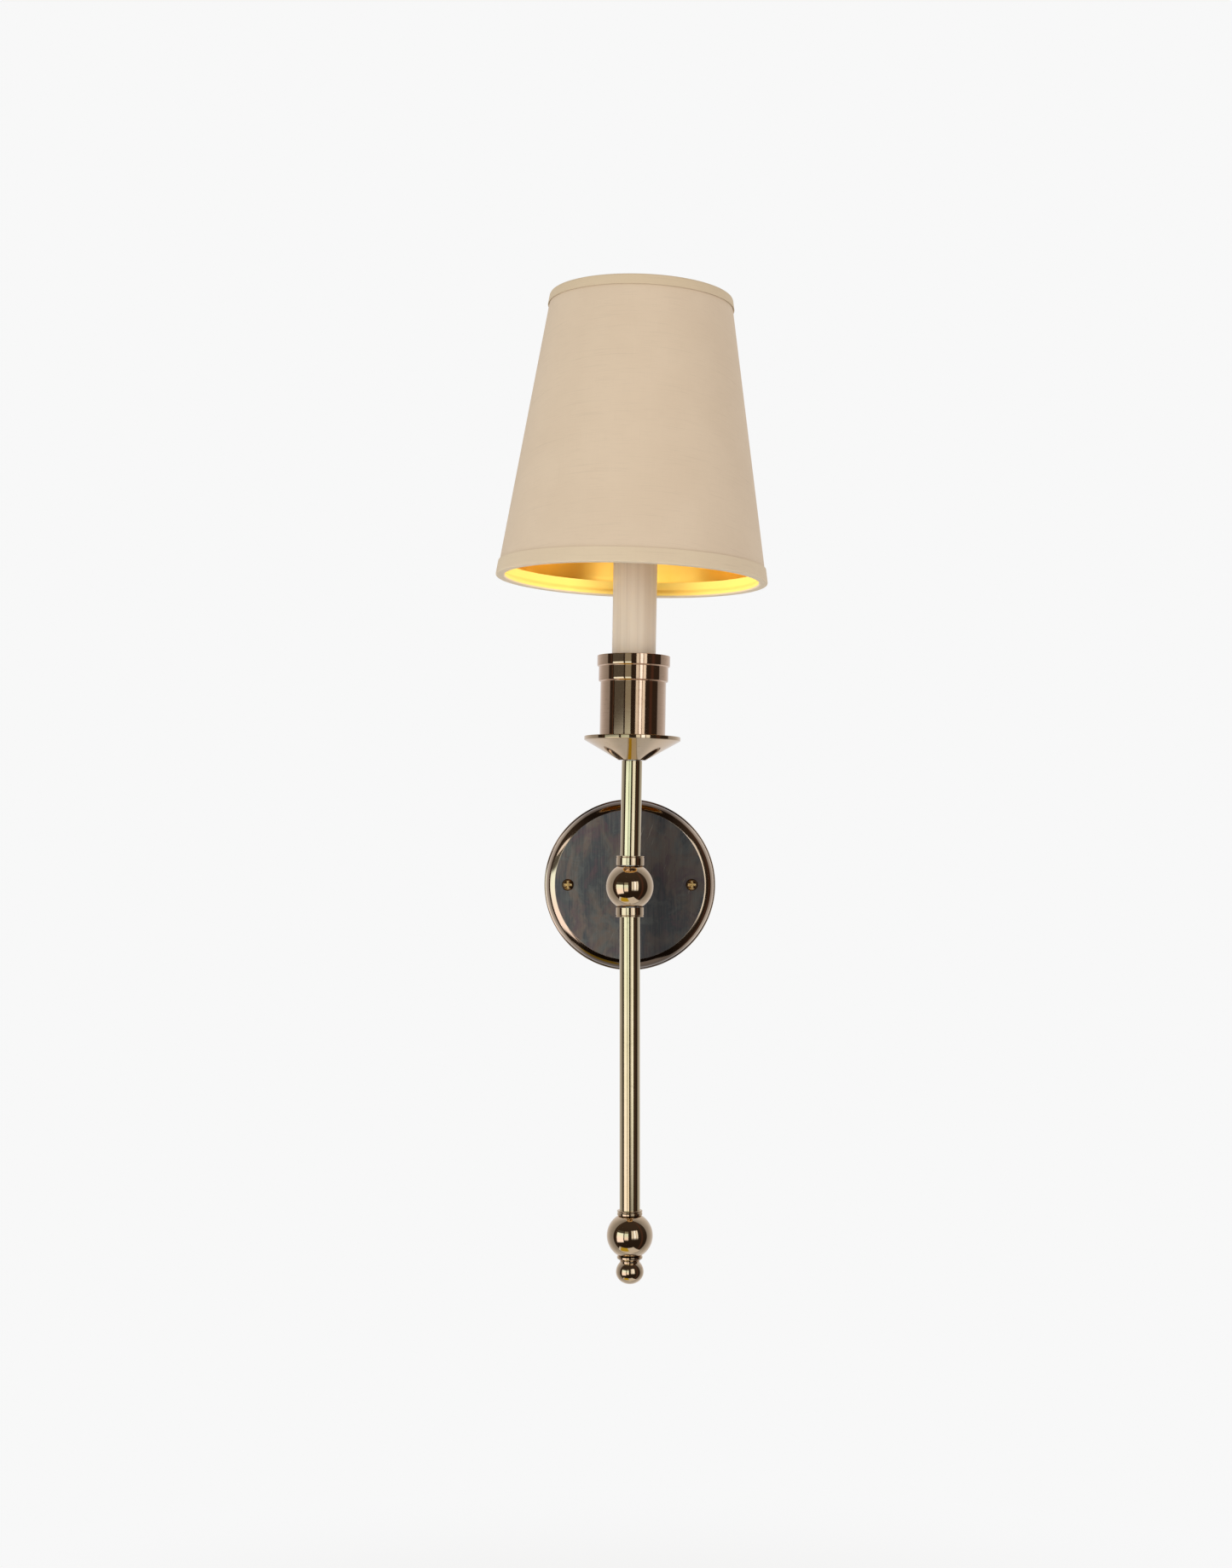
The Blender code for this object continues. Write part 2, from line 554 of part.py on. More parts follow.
def make_cup():
    """The upper tube, drip dish and candle cup; returns the cup floor, riser start and nipple end."""
    tube("stem_tube_upper", TUBE_RADIUS, NIPPLE_HOLE, STEM_RISE - GAP - TUBE_START, brass, upper_stem,
         (0, 0, TUBE_START), ROUND_STEPS)
    slope = DISH_RISE / (DISH_RADIUS - DISH_BASE_RADIUS)
    lift = DISH_WALL * math.hypot(1, slope)
    rim_inside = DISH_RADIUS - DISH_WALL
    inner_foot = DISH_BASE_RADIUS - (lift - DISH_WALL) / slope
    outline = [(rim_inside, DISH_RISE + DISH_RIM_HEIGHT), (DISH_RADIUS, DISH_RISE + DISH_RIM_HEIGHT),
               (DISH_RADIUS, DISH_RISE), (DISH_BASE_RADIUS, 0), (NIPPLE_HOLE, 0), (NIPPLE_HOLE, DISH_WALL),
               (inner_foot, DISH_WALL), (rim_inside, lift + (rim_inside - DISH_BASE_RADIUS) * slope)]
    turned("drip_dish", outline, brass, upper_stem, (0, 0, STEM_RISE), LARGE_STEPS)
    cup_bottom = STEM_RISE + lift + (CUP_RADIUS + GAP - DISH_BASE_RADIUS) * slope
    spacer_start = STEM_RISE + DISH_WALL + GAP
    tube("cup_spacer", NIPPLE_HOLE + CUP_SPACER_WALL, NIPPLE_HOLE, cup_bottom - GAP - spacer_start, brass,
         upper_stem, (0, 0, spacer_start), ROUND_STEPS)
    inside = CUP_RADIUS - CUP_WALL
    lower_ring = CUP_RADIUS + CUP_LOWER_RING_PROUD
    top_ring = CUP_RADIUS + CUP_TOP_RING_PROUD
    top_ring_start = CUP_HEIGHT - CUP_TOP_RING_HEIGHT
    lower_ring_start = top_ring_start - CUP_LOWER_RING_HEIGHT
    outline = [(inside, CUP_HEIGHT), (top_ring, CUP_HEIGHT), (top_ring, top_ring_start),
               (lower_ring, top_ring_start), (lower_ring, lower_ring_start), (CUP_RADIUS, lower_ring_start),
               (CUP_RADIUS, 0), (NIPPLE_HOLE, 0), (NIPPLE_HOLE, CUP_FLOOR), (inside, CUP_FLOOR)]
    turned("candle_cup", outline, brass, upper_stem, (0, 0, cup_bottom), LARGE_STEPS)
    floor = cup_bottom + CUP_FLOOR
    washer("cup_washer", steel, upper_stem, (0, 0, floor + GAP))
    nut = floor + WASHER_THICKNESS + 2 * GAP
    locknut("cup_locknut", LOCKNUT_HEIGHT, steel, upper_stem, (0, 0, nut))
    nipple_start = STEM_RISE - NIPPLE_HOLD
    nipple_end = nut + LOCKNUT_HEIGHT + GAP + HOLDER_SPIGOT_LENGTH
    tube("cup_nipple", NIPPLE_RADIUS, NIPPLE_BORE, nipple_end - nipple_start, steel, upper_stem,
         (0, 0, nipple_start))
    return floor, nut + LOCKNUT_HEIGHT + GAP, nipple_end


def make_holder(floor, riser_start, nipple_end):
    """The sleeve, and the lampholder on its riser; returns its spigot, pin, body and contact heights."""
    sleeve_start = floor + GAP
    sleeve_bore = SLEEVE_RADIUS - SLEEVE_WALL
    tube("candle_sleeve", SLEEVE_RADIUS, sleeve_bore, SLEEVE_LENGTH, cream_card, upper_stem,
         (0, 0, sleeve_start), ROUND_STEPS)
    holder_radius = sleeve_bore - HOLDER_SLACK
    body_top = sleeve_start + SLEEVE_LENGTH - HOLDER_RECESS
    body_start = body_top - HOLDER_BODY_HEIGHT
    cap_start = body_start - GAP - HOLDER_CAP_HEIGHT
    riser_radius = NIPPLE_HOLE + RISER_WALL
    shoulder = cap_start - GAP
    spigot_end = cap_start + HOLDER_CAP_FLOOR + HOLDER_SPIGOT_PROUD
    outline = [(NIPPLE_BORE, spigot_end), (NIPPLE_RADIUS, spigot_end), (NIPPLE_RADIUS, shoulder),
               (riser_radius, shoulder), (riser_radius, riser_start), (NIPPLE_HOLE, riser_start),
               (NIPPLE_HOLE, nipple_end + GAP), (NIPPLE_BORE, nipple_end + GAP)]
    turned("lampholder_riser", outline, steel, upper_stem, steps=SMALL_STEPS)
    wall_radius = holder_radius - HOLDER_CAP_WALL
    outline = [(wall_radius, HOLDER_CAP_HEIGHT), (holder_radius, HOLDER_CAP_HEIGHT), (holder_radius, 0),
               (NIPPLE_HOLE, 0), (NIPPLE_HOLE, HOLDER_CAP_FLOOR), (wall_radius, HOLDER_CAP_FLOOR)]
    turned("lampholder_cap", outline, cream_plastic, upper_stem, (0, 0, cap_start), ROUND_STEPS)
    socket = BULB_CAP_RADIUS + GAP
    shell = socket + HOLDER_SHELL_WALL
    contact_hole = HOLDER_CONTACT_RADIUS + GAP
    outline = [(shell + GAP, HOLDER_BODY_HEIGHT), (holder_radius, HOLDER_BODY_HEIGHT), (holder_radius, 0),
               (contact_hole, 0), (contact_hole, HOLDER_BODY_FLOOR), (shell + GAP, HOLDER_BODY_FLOOR)]
    turned("lampholder_body", outline, cream_plastic, upper_stem, (0, 0, body_start), ROUND_STEPS)
    chamber = body_start + HOLDER_BODY_FLOOR
    tube("lampholder_shell", shell, socket, HOLDER_BODY_HEIGHT - HOLDER_BODY_FLOOR - HOLDER_SHELL_RECESS,
         bright_brass, upper_stem, (0, 0, chamber + GAP), ROUND_STEPS)
    pin_start = body_start - HOLDER_PIN_PROUD
    disc = chamber + GAP
    disc_top = disc + HOLDER_CONTACT_DISC_HEIGHT
    outline = [(0, disc_top), (HOLDER_CONTACT_DISC, disc_top), (HOLDER_CONTACT_DISC, disc),
               (HOLDER_CONTACT_RADIUS, disc), (HOLDER_CONTACT_RADIUS, pin_start), (0, pin_start)]
    turned("lampholder_contact", outline, bright_brass, upper_stem, steps=SMALL_STEPS)
    return spigot_end, pin_start, body_start, disc_top


def glass_radius(height, widest):
    """Outer radius of the bulb: a smooth shoulder up to the widest height, then a pointed taper."""
    neck = BULB_CAP_RADIUS - BULB_CAP_WALL - GAP
    if height <= widest:
        share = max(0, (height - widest + BULB_SHOULDER) / BULB_SHOULDER)
        return neck + (BULB_GLASS_RADIUS - neck) * (1 - math.cos(math.pi * share)) / 2
    share = min(1, (height - widest) / BULB_TAPER)
    return BULB_GLASS_RADIUS * (1 - share**2.2) ** 0.9


def make_bulb(contact):
    """The bulb on its lampholder contact; returns the height where the glass is widest."""
    bulb_axis = empty("bulb_axis", parent=upper_stem)
    outline = [(0, BULB_CONTACT_HEIGHT), (BULB_CONTACT_RADIUS, BULB_CONTACT_HEIGHT),
               (BULB_CONTACT_RADIUS, 0), (0, 0)]
    start = contact + 2 * GAP
    turned("bulb_contact", outline, bright_brass, bulb_axis, (0, 0, start), SMALL_STEPS)
    start += BULB_CONTACT_HEIGHT + GAP
    cap_inside = BULB_CAP_RADIUS - BULB_CAP_WALL
    wide = cap_inside - BULB_CAP_STEP
    outline = [(0, BULB_INSULATOR_HEIGHT), (wide, BULB_INSULATOR_HEIGHT), (BULB_CONTACT_RADIUS, 0), (0, 0)]
    turned("bulb_insulator", outline, black_glass, bulb_axis, (0, 0, start), SMALL_STEPS)
    start += BULB_INSULATOR_HEIGHT + GAP
    foot = wide - BULB_CAP_LIP
    outline = [(cap_inside, BULB_CAP_HEIGHT), (BULB_CAP_RADIUS, BULB_CAP_HEIGHT),
               (BULB_CAP_RADIUS, BULB_CAP_STEP), (foot + BULB_CAP_WALL, 0), (foot, 0),
               (cap_inside, BULB_CAP_STEP + BULB_CAP_WALL)]
    turned("bulb_cap", outline, steel, bulb_axis, (0, 0, start), ROUND_STEPS)
    cap_top = start + BULB_CAP_HEIGHT
    widest = cap_top + BULB_SHOULDER
    neck_start = cap_top - BULB_NECK_IN_CAP
    heights = [widest + BULB_TAPER * math.sin(math.radians(a)) for a in (90, 66, 50, 34, 16)]
    heights += [widest - BULB_SHOULDER * share for share in (0.2, 0.45, 0.7, 0.95)]
    outer = [(glass_radius(h, widest), h) for h in heights] + [(glass_radius(0, widest), neck_start)]
    outer[0] = (0, heights[0])
    inner = [(r - BULB_GLASS_WALL, h) for r, h in reversed(outer[2:])]
    inner.append((0, heights[1] - BULB_GLASS_WALL / 2))
    turned("bulb_glass", outer + inner, glass, bulb_axis, steps=ROUND_STEPS)
    neck_inside = glass_radius(0, widest) - BULB_GLASS_WALL
    stalk = neck_inside - BULB_MOUNT_CLEAR
    top = neck_start + BULB_MOUNT_HEIGHT
    outline = [(0, top), (stalk * 0.45, top), (stalk * 0.6, top - BULB_MOUNT_NECK),
               (stalk, top - BULB_MOUNT_FLARE), (stalk, neck_start), (0, neck_start)]
    turned("bulb_mount", outline, glass, bulb_axis, steps=SMALL_STEPS)
    low = top + FILAMENT_RADIUS + GAP
    side = [(FILAMENT_FOOT, 0, low), (FILAMENT_SPREAD, 0, low + FILAMENT_SHOULDER),
            (FILAMENT_SPREAD * 0.6, 0, low + FILAMENT_HEIGHT)]
    route = [(-x, y, h) for x, y, h in side] + side[::-1]
    wire("bulb_filament", bends(route, FILAMENT_BEND, 2), FILAMENT_RADIUS, steel, bulb_axis)
    return widest


def make_clip(widest, pivot):
    """Two sprung wire loops that lie on the glass above its widest height, hung from the yoke."""
    clip_axis = empty("clip_axis", parent=upper_stem)
    yoke_start = pivot - YOKE_HEIGHT / 2
    outline = [(0, YOKE_HEIGHT), (YOKE_RADIUS - YOKE_CHAMFER, YOKE_HEIGHT),
               (YOKE_RADIUS, YOKE_HEIGHT - YOKE_CHAMFER), (YOKE_RADIUS, 0), (0, 0)]
    yoke = turned("clip_yoke", outline, bright_brass, clip_axis, (0, 0, yoke_start), ROUND_STEPS)
    drill = tube("yoke_bore", SPIDER_WIRE_RADIUS + GAP, 0, 2 * (YOKE_RADIUS + PAST), steel, shade_pivot,
                 (0, 0, 0))
    drill.rotation_euler.x = math.pi / 2
    drill.location.y = YOKE_RADIUS + PAST
    cut(yoke, drill)
    clearance = CLIP_WIRE_RADIUS + GAP
    low = widest + clearance
    middle = low + CLIP_LOOP_HEIGHT / 2
    leg = math.hypot(CLIP_LEG_X, CLIP_LEG_Y)

    def distance(height):
        return ((glass_radius(height, widest) + clearance) ** 4 + leg**4) ** 0.25

    leg_start = math.degrees(math.asin(CLIP_LEG_Y / distance(middle + CLIP_LOOP_HEIGHT / 2)))
    first = math.degrees(math.asin(leg_start / CLIP_LOOP_ANGLE))
    loop = []
    for i in range(15):
        turn = math.radians(first + (360 - 2 * first) * i / 14)
        height = middle + CLIP_LOOP_HEIGHT / 2 * math.cos(turn)
        around = math.radians(CLIP_LOOP_ANGLE * math.sin(turn))
        loop.append((distance(height) * math.cos(around), distance(height) * math.sin(around), height))
    tip = widest + BULB_TAPER
    leg_heights = [loop[0][2] + (tip - loop[0][2]) * share for share in (0.4, 0.75)]
    legs = [(math.sqrt(distance(h) ** 2 - CLIP_LEG_Y**2), CLIP_LEG_Y, h) for h in leg_heights]
    legs += [(CLIP_LEG_X, CLIP_LEG_Y, tip + CLIP_LEGS_TOGETHER), (CLIP_LEG_X, CLIP_LEG_Y, yoke_start - GAP)]
    path = legs[::-1] + loop + [(x, -y, h) for x, y, h in legs]
    for side, where in ((-1, "left"), (1, "right")):
        points = [(side * x, y, h) for x, y, h in path]
        wire(f"clip_loop_{where}", points, CLIP_WIRE_RADIUS, steel, clip_axis)


def shade_radius(height):
    """Outer radius of the folded trim at a height above the shade's lower edge."""
    return SHADE_BOTTOM_RADIUS + (SHADE_TOP_RADIUS - SHADE_BOTTOM_RADIUS) * height / SHADE_HEIGHT


def skin(name, inset, thickness, low, high, finish):
    """A cone of sheet inside the shade's outer surface, between two heights above its lower edge."""
    outline = [(shade_radius(high) - inset - thickness, high), (shade_radius(high) - inset, high),
               (shade_radius(low) - inset, low), (shade_radius(low) - inset - thickness, low)]
    return turned(name, outline, finish, shade_edge, steps=LARGE_STEPS)


def make_shade():
    """Cover, lining, rings, trims and the wire spider, whose straight middle is the pivot in the yoke."""
    cover_inset = TRIM_THICKNESS + GAP
    lining_inset = cover_inset + COVER_THICKNESS + GAP
    ring_inset = lining_inset + LINING_THICKNESS + GAP + RING_WIRE_RADIUS
    fold_inset = ring_inset + RING_WIRE_RADIUS + GAP
    band_inset = lining_inset + LINING_THICKNESS + GAP
    edge = TRIM_THICKNESS + GAP
    skin("shade_cover", cover_inset, COVER_THICKNESS, edge, SHADE_HEIGHT - edge, linen)
    skin("shade_lining", lining_inset, LINING_THICKNESS, edge, SHADE_HEIGHT - edge, gold_foil)
    ring_height = edge + RING_WIRE_RADIUS
    over_ring = ring_height + RING_WIRE_RADIUS + GAP
    step = fold_inset - band_inset
    for where, outside, inside in (("bottom", BOTTOM_TRIM_HEIGHT, BOTTOM_TRIM_INSIDE),
                                   ("top", TOP_TRIM_HEIGHT, TOP_TRIM_INSIDE)):
        bottom = where == "bottom"

        def at(height, inset):
            real = height if bottom else SHADE_HEIGHT - height
            return shade_radius(real) - inset, real

        thick = TRIM_THICKNESS
        outline = [at(outside, 0), at(0, 0), at(0, fold_inset + thick), at(over_ring, fold_inset + thick),
                   at(over_ring + step, band_inset + thick), at(inside, band_inset + thick),
                   at(inside, band_inset), at(over_ring + step, band_inset), at(over_ring, fold_inset),
                   at(thick, fold_inset), at(thick, thick), at(outside, thick)]
        if not bottom:
            outline.reverse()
        turned(f"shade_{where}_trim", outline, cream_tape, shade_edge, steps=LARGE_STEPS)
        radius, height = at(ring_height, ring_inset)
        ring = [(radius + RING_WIRE_RADIUS * math.cos(a), height + RING_WIRE_RADIUS * math.sin(a))
                for a in (math.radians(-60 * i) for i in range(6))]
        turned(f"shade_{where}_ring", ring, steel, shade_edge, steps=LARGE_STEPS)
    top = SHADE_HEIGHT - SHADE_BELOW_PIVOT - ring_height
    reach = shade_radius(SHADE_HEIGHT) - fold_inset - TRIM_THICKNESS - GAP
    side = [(0, reach, top), (0, reach - SPIDER_LANDING, top), (0, SPIDER_STRAIGHT, 0), (0, 0, 0)]
    side = bends(side, SPIDER_BEND)[:-1]
    path = side + [(x, -y, h) for x, y, h in reversed(side)]
    wire("shade_spider", path, SPIDER_WIRE_RADIUS, steel, shade_pivot)


def make_wiring(nipple_out, spigot_end, pin_start, body_start):
    """Live, neutral and earth wires, in the frame of the wall: across, up and out."""
    block_out = PLATE_INSIDE_OUT - GAP - BLOCK_DEPTH / 2
    block_up = STRAP_WIDTH / 2 + BLOCK_CLEAR_OF_STRAP + BLOCK_HEIGHT / 2
    lanes = (-BLOCK_PITCH, 0, BLOCK_PITCH)
    bores = [circle((x, 0), BLOCK_BORE_RADIUS) for x in lanes]
    block = plate("terminal_block", [rounded(BLOCK_WIDTH, BLOCK_DEPTH, BLOCK_CORNER), *bores], BLOCK_HEIGHT,
                  white_plastic, wall)
    block.location = (0, block_up, block_out)
    block.rotation_euler.x = math.pi / 2
    for x, name in zip(lanes, ("earth", "live", "neutral")):
        well = tube(f"{name}_well", BLOCK_WELL_RADIUS, 0, BLOCK_DEPTH / 2, steel, wall,
                    (x, block_up + BLOCK_HEIGHT / 4, block_out - BLOCK_DEPTH / 2 - PAST))
        cut(block, well)
    turn = Matrix.Rotation(UPPER_LEAN, 3, "Y")

    def leaning(x, y, height):
        """A point of the upper stem in the frame of the wall."""
        x, y, height = turn @ Vector((x, y, height))
        return x, height, PROJECTION - y

    loop_out = (nipple_out + STRAP_THICKNESS) / 2 + GAP
    nut_edge = LOCKNUT_FLATS / 2 + WIRE_RADIUS + WIRE_CLEAR_OF_NUT
    bore_end = block_up + BLOCK_HEIGHT / 4 - BLOCK_WELL_RADIUS - GAP
    below_block = block_up - BLOCK_HEIGHT / 2 - WIRE_STRAIGHT_IN_BLOCK
    ends = {"live": [leaning(-WIRE_OFFSET, 0, pin_start - GAP)],
            "neutral": [leaning(NEUTRAL_OFFSET, 0, body_start - GAP),
                        leaning(NEUTRAL_OFFSET, 0, pin_start - WIRE_STRAIGHT_AT_PIN),
                        leaning(WIRE_OFFSET, 0, spigot_end + WIRE_RADIUS + GAP)]}
    for name, side, x, finish in (("live", -1, 0, brown_wire), ("neutral", 1, BLOCK_PITCH, blue_wire)):
        offset = side * WIRE_OFFSET
        route = ends[name] + [(offset, 0, PROJECTION), (offset, 0, loop_out),
                              (offset + x / 2, nut_edge, loop_out), (x, below_block, block_out),
                              (x, bore_end, block_out)]
        wire(f"{name}_wire", bends(route, WIRE_BEND, 3), WIRE_RADIUS, finish, wall)
    tag_face = PLATE_INSIDE_OUT - WASHER_THICKNESS - TAG_THICKNESS - 2 * GAP
    tab = -(TAG_TAB_LENGTH - TAG_TAB_WIDTH / 2)
    out = tag_face - GAP - WIRE_RADIUS
    route = [(tab, -TAG_TAB_WIDTH / 2, out), (tab, below_block / 2, out),
             (-BLOCK_PITCH, below_block, block_out), (-BLOCK_PITCH, bore_end, block_out)]
    wire("earth_wire", bends(route, WIRE_BEND, 3), WIRE_RADIUS, green_wire, wall)


for old in list(bpy.data.objects):
    bpy.data.objects.remove(old)

parts = collection("wall_sconce")
cutters = collection("cutters")

brass = material("polished_brass", (0.55, 0.43, 0.29), 0.18, 1)
dark_brass = material("aged_brass_plate", (0.16, 0.13, 0.115), 0.32, 1)
bright_brass = material("bright_brass", (0.75, 0.52, 0.22), 0.25, 1)
steel = material("zinc_steel", (0.6, 0.6, 0.6), 0.35, 1)
cream_card = material("cream_card_sleeve", (0.58, 0.50, 0.38), 0.5, 0)
cream_plastic = material("cream_plastic", (0.75, 0.70, 0.58), 0.4, 0)
white_plastic = material("white_plastic", (0.85, 0.85, 0.82), 0.4, 0)
black_glass = material("black_glass", (0.02, 0.02, 0.02), 0.2, 0)
glass = material("clear_glass", (0.9, 0.9, 0.9), 0.05, 0)
linen = material("cream_linen", (0.68, 0.56, 0.40), 0.9, 0)
cream_tape = material("cream_tape", (0.70, 0.58, 0.41), 0.9, 0)
gold_foil = material("gold_foil", (0.95, 0.55, 0.12), 0.3, 1)
brown_wire = material("brown_insulation", (0.22, 0.09, 0.04), 0.5, 0)
blue_wire = material("blue_insulation", (0.03, 0.12, 0.5), 0.5, 0)
green_wire = material("green_insulation", (0.1, 0.4, 0.08), 0.5, 0)

wall = empty("wall_frame", rotation=(math.pi / 2, 0, 0))
stem = empty("stem_frame", (0, -PROJECTION, 0))
upper_stem = empty("upper_stem_frame", rotation=(0, UPPER_LEAN, 0), parent=stem)
lower_stem = empty("lower_stem_frame", rotation=(math.pi, 0, 0), parent=stem)
rear_stem = empty("rear_stem_frame", rotation=(-math.pi / 2, 0, 0), parent=stem)

make_plate()
arm_nipple_out = make_arm()
make_ball()
make_finial()
cup_floor, riser_height, cup_nipple_end = make_cup()
holder_spigot, holder_pin, holder_body, contact_top = make_holder(cup_floor, riser_height, cup_nipple_end)
bulb_widest = make_bulb(contact_top)
pivot_height = bulb_widest + BULB_TAPER + PIVOT_ABOVE_BULB
shade_pivot = empty("shade_pivot", (0, 0, pivot_height), (0, SHADE_TILT, 0), upper_stem)
shade_edge = empty("shade_lower_edge", (0, 0, -SHADE_BELOW_PIVOT), parent=shade_pivot)
make_clip(bulb_widest, pivot_height)
make_shade()
make_wiring(arm_nipple_out, holder_spigot, holder_pin, holder_body)
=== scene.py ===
"""Looks of the wall sconce: polished brass, an aged plate, a card sleeve and a lined linen shade.

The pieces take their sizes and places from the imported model, and a few small details, named below,
are added to it. A turned piece is a profile of radius and height carried round its axis; the
shade's axis runs through its two wire rings. The studio's sizes are in metres.
"""

import json
import math

import bmesh
import bpy
import numpy as np
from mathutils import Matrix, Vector


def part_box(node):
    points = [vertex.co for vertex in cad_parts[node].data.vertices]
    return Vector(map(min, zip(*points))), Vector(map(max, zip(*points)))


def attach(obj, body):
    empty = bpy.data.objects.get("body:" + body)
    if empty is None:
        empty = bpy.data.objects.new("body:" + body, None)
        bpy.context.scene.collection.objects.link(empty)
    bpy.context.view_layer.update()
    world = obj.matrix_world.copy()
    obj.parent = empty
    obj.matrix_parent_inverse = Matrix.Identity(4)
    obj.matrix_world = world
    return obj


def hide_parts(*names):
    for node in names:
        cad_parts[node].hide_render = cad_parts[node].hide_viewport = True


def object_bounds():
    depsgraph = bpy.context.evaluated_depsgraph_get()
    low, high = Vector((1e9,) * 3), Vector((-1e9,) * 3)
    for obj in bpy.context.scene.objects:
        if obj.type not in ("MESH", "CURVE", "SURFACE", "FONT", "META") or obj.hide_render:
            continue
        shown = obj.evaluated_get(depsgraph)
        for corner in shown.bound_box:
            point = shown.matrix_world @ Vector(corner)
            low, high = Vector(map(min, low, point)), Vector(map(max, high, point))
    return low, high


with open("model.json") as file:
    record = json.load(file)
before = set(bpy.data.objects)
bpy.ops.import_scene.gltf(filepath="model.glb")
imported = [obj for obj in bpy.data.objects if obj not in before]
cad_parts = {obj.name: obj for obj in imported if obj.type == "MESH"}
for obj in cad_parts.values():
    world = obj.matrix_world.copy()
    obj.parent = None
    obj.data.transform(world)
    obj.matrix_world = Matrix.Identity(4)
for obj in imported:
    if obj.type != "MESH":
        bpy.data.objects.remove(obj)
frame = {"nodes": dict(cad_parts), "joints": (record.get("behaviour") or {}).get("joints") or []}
cad_low, cad_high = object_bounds()

MM = 0.001
TURNS = 160            # columns round a turned piece
SUPPORT = 1.4          # where a side's further point lies, as a share of its corner's curve
EDGE = 0.25 * MM       # rounding of a machined edge
SHARP = math.radians(38)
TINY = 0.01 * MM


class Frame:
    """An axis in space: a centre, the direction of its height, and two directions across it."""

    def __init__(self, centre, up):
        self.centre = np.array(centre, float)
        self.up = np.array(up, float) / np.linalg.norm(up)
        front = np.array([0.0, -1.0, 0.0]) if abs(self.up[1]) < 0.5 else np.array([0.0, 0.0, 1.0])
        across = np.cross(self.up, front)
        self.right = across / np.linalg.norm(across)
        self.front = np.cross(self.right, self.up)

    def place(self, radius, angle, height):
        """Points at a radius, an angle from the front towards the right, and a height, as an array."""
        radius, angle, height = np.broadcast_arrays(radius, angle, height)
        across = radius[..., None] * (np.cos(angle)[..., None] * self.front
                                      + np.sin(angle)[..., None] * self.right)
        return self.centre + across + height[..., None] * self.up

    def polar(self, node):
        """Heights along this axis, and radii about it, of a CAD node's corners."""
        points = corners(node) - self.centre
        height = points @ self.up
        return height, np.linalg.norm(points - height[:, None] * self.up, axis=1)

    def span(self, node):
        """Lowest height, highest height, least radius and greatest radius of a CAD node on this axis."""
        height, radius = self.polar(node)
        return height.min(), height.max(), radius.min(), radius.max()

    def radii_at(self, node, height):
        """Least and greatest radius of a CAD node's corners at a height."""
        heights, radii = self.polar(node)
        there = radii[np.abs(heights - height) <= TINY]
        return there.min(), there.max()


def corners(node):
    """The corner points of a CAD node, each once."""
    mesh = frame["nodes"][node].data
    points = np.empty(len(mesh.vertices) * 3, np.float32)
    mesh.vertices.foreach_get("co", points)
    return np.unique(points.reshape(-1, 3).astype(float).round(6), axis=0)


def middle(node):
    """The mean of a CAD node's corner points."""
    return corners(node).mean(axis=0)


joints = {joint["name"]: joint for joint in frame["joints"]}
stem_centre = joints["bulb_turn"]["pos_m"]
UPPER = Frame(stem_centre, joints["bulb_turn"]["axis"])
LOWER = Frame(stem_centre, (0, 0, 1))
REAR = Frame(stem_centre, (0, 1, 0))
WALL = Frame((0, 0, 0), (0, -1, 0))
ring_low, ring_high = middle("shade_bottom_ring"), middle("shade_top_ring")
SHADE = Frame(ring_low, ring_high - ring_low)


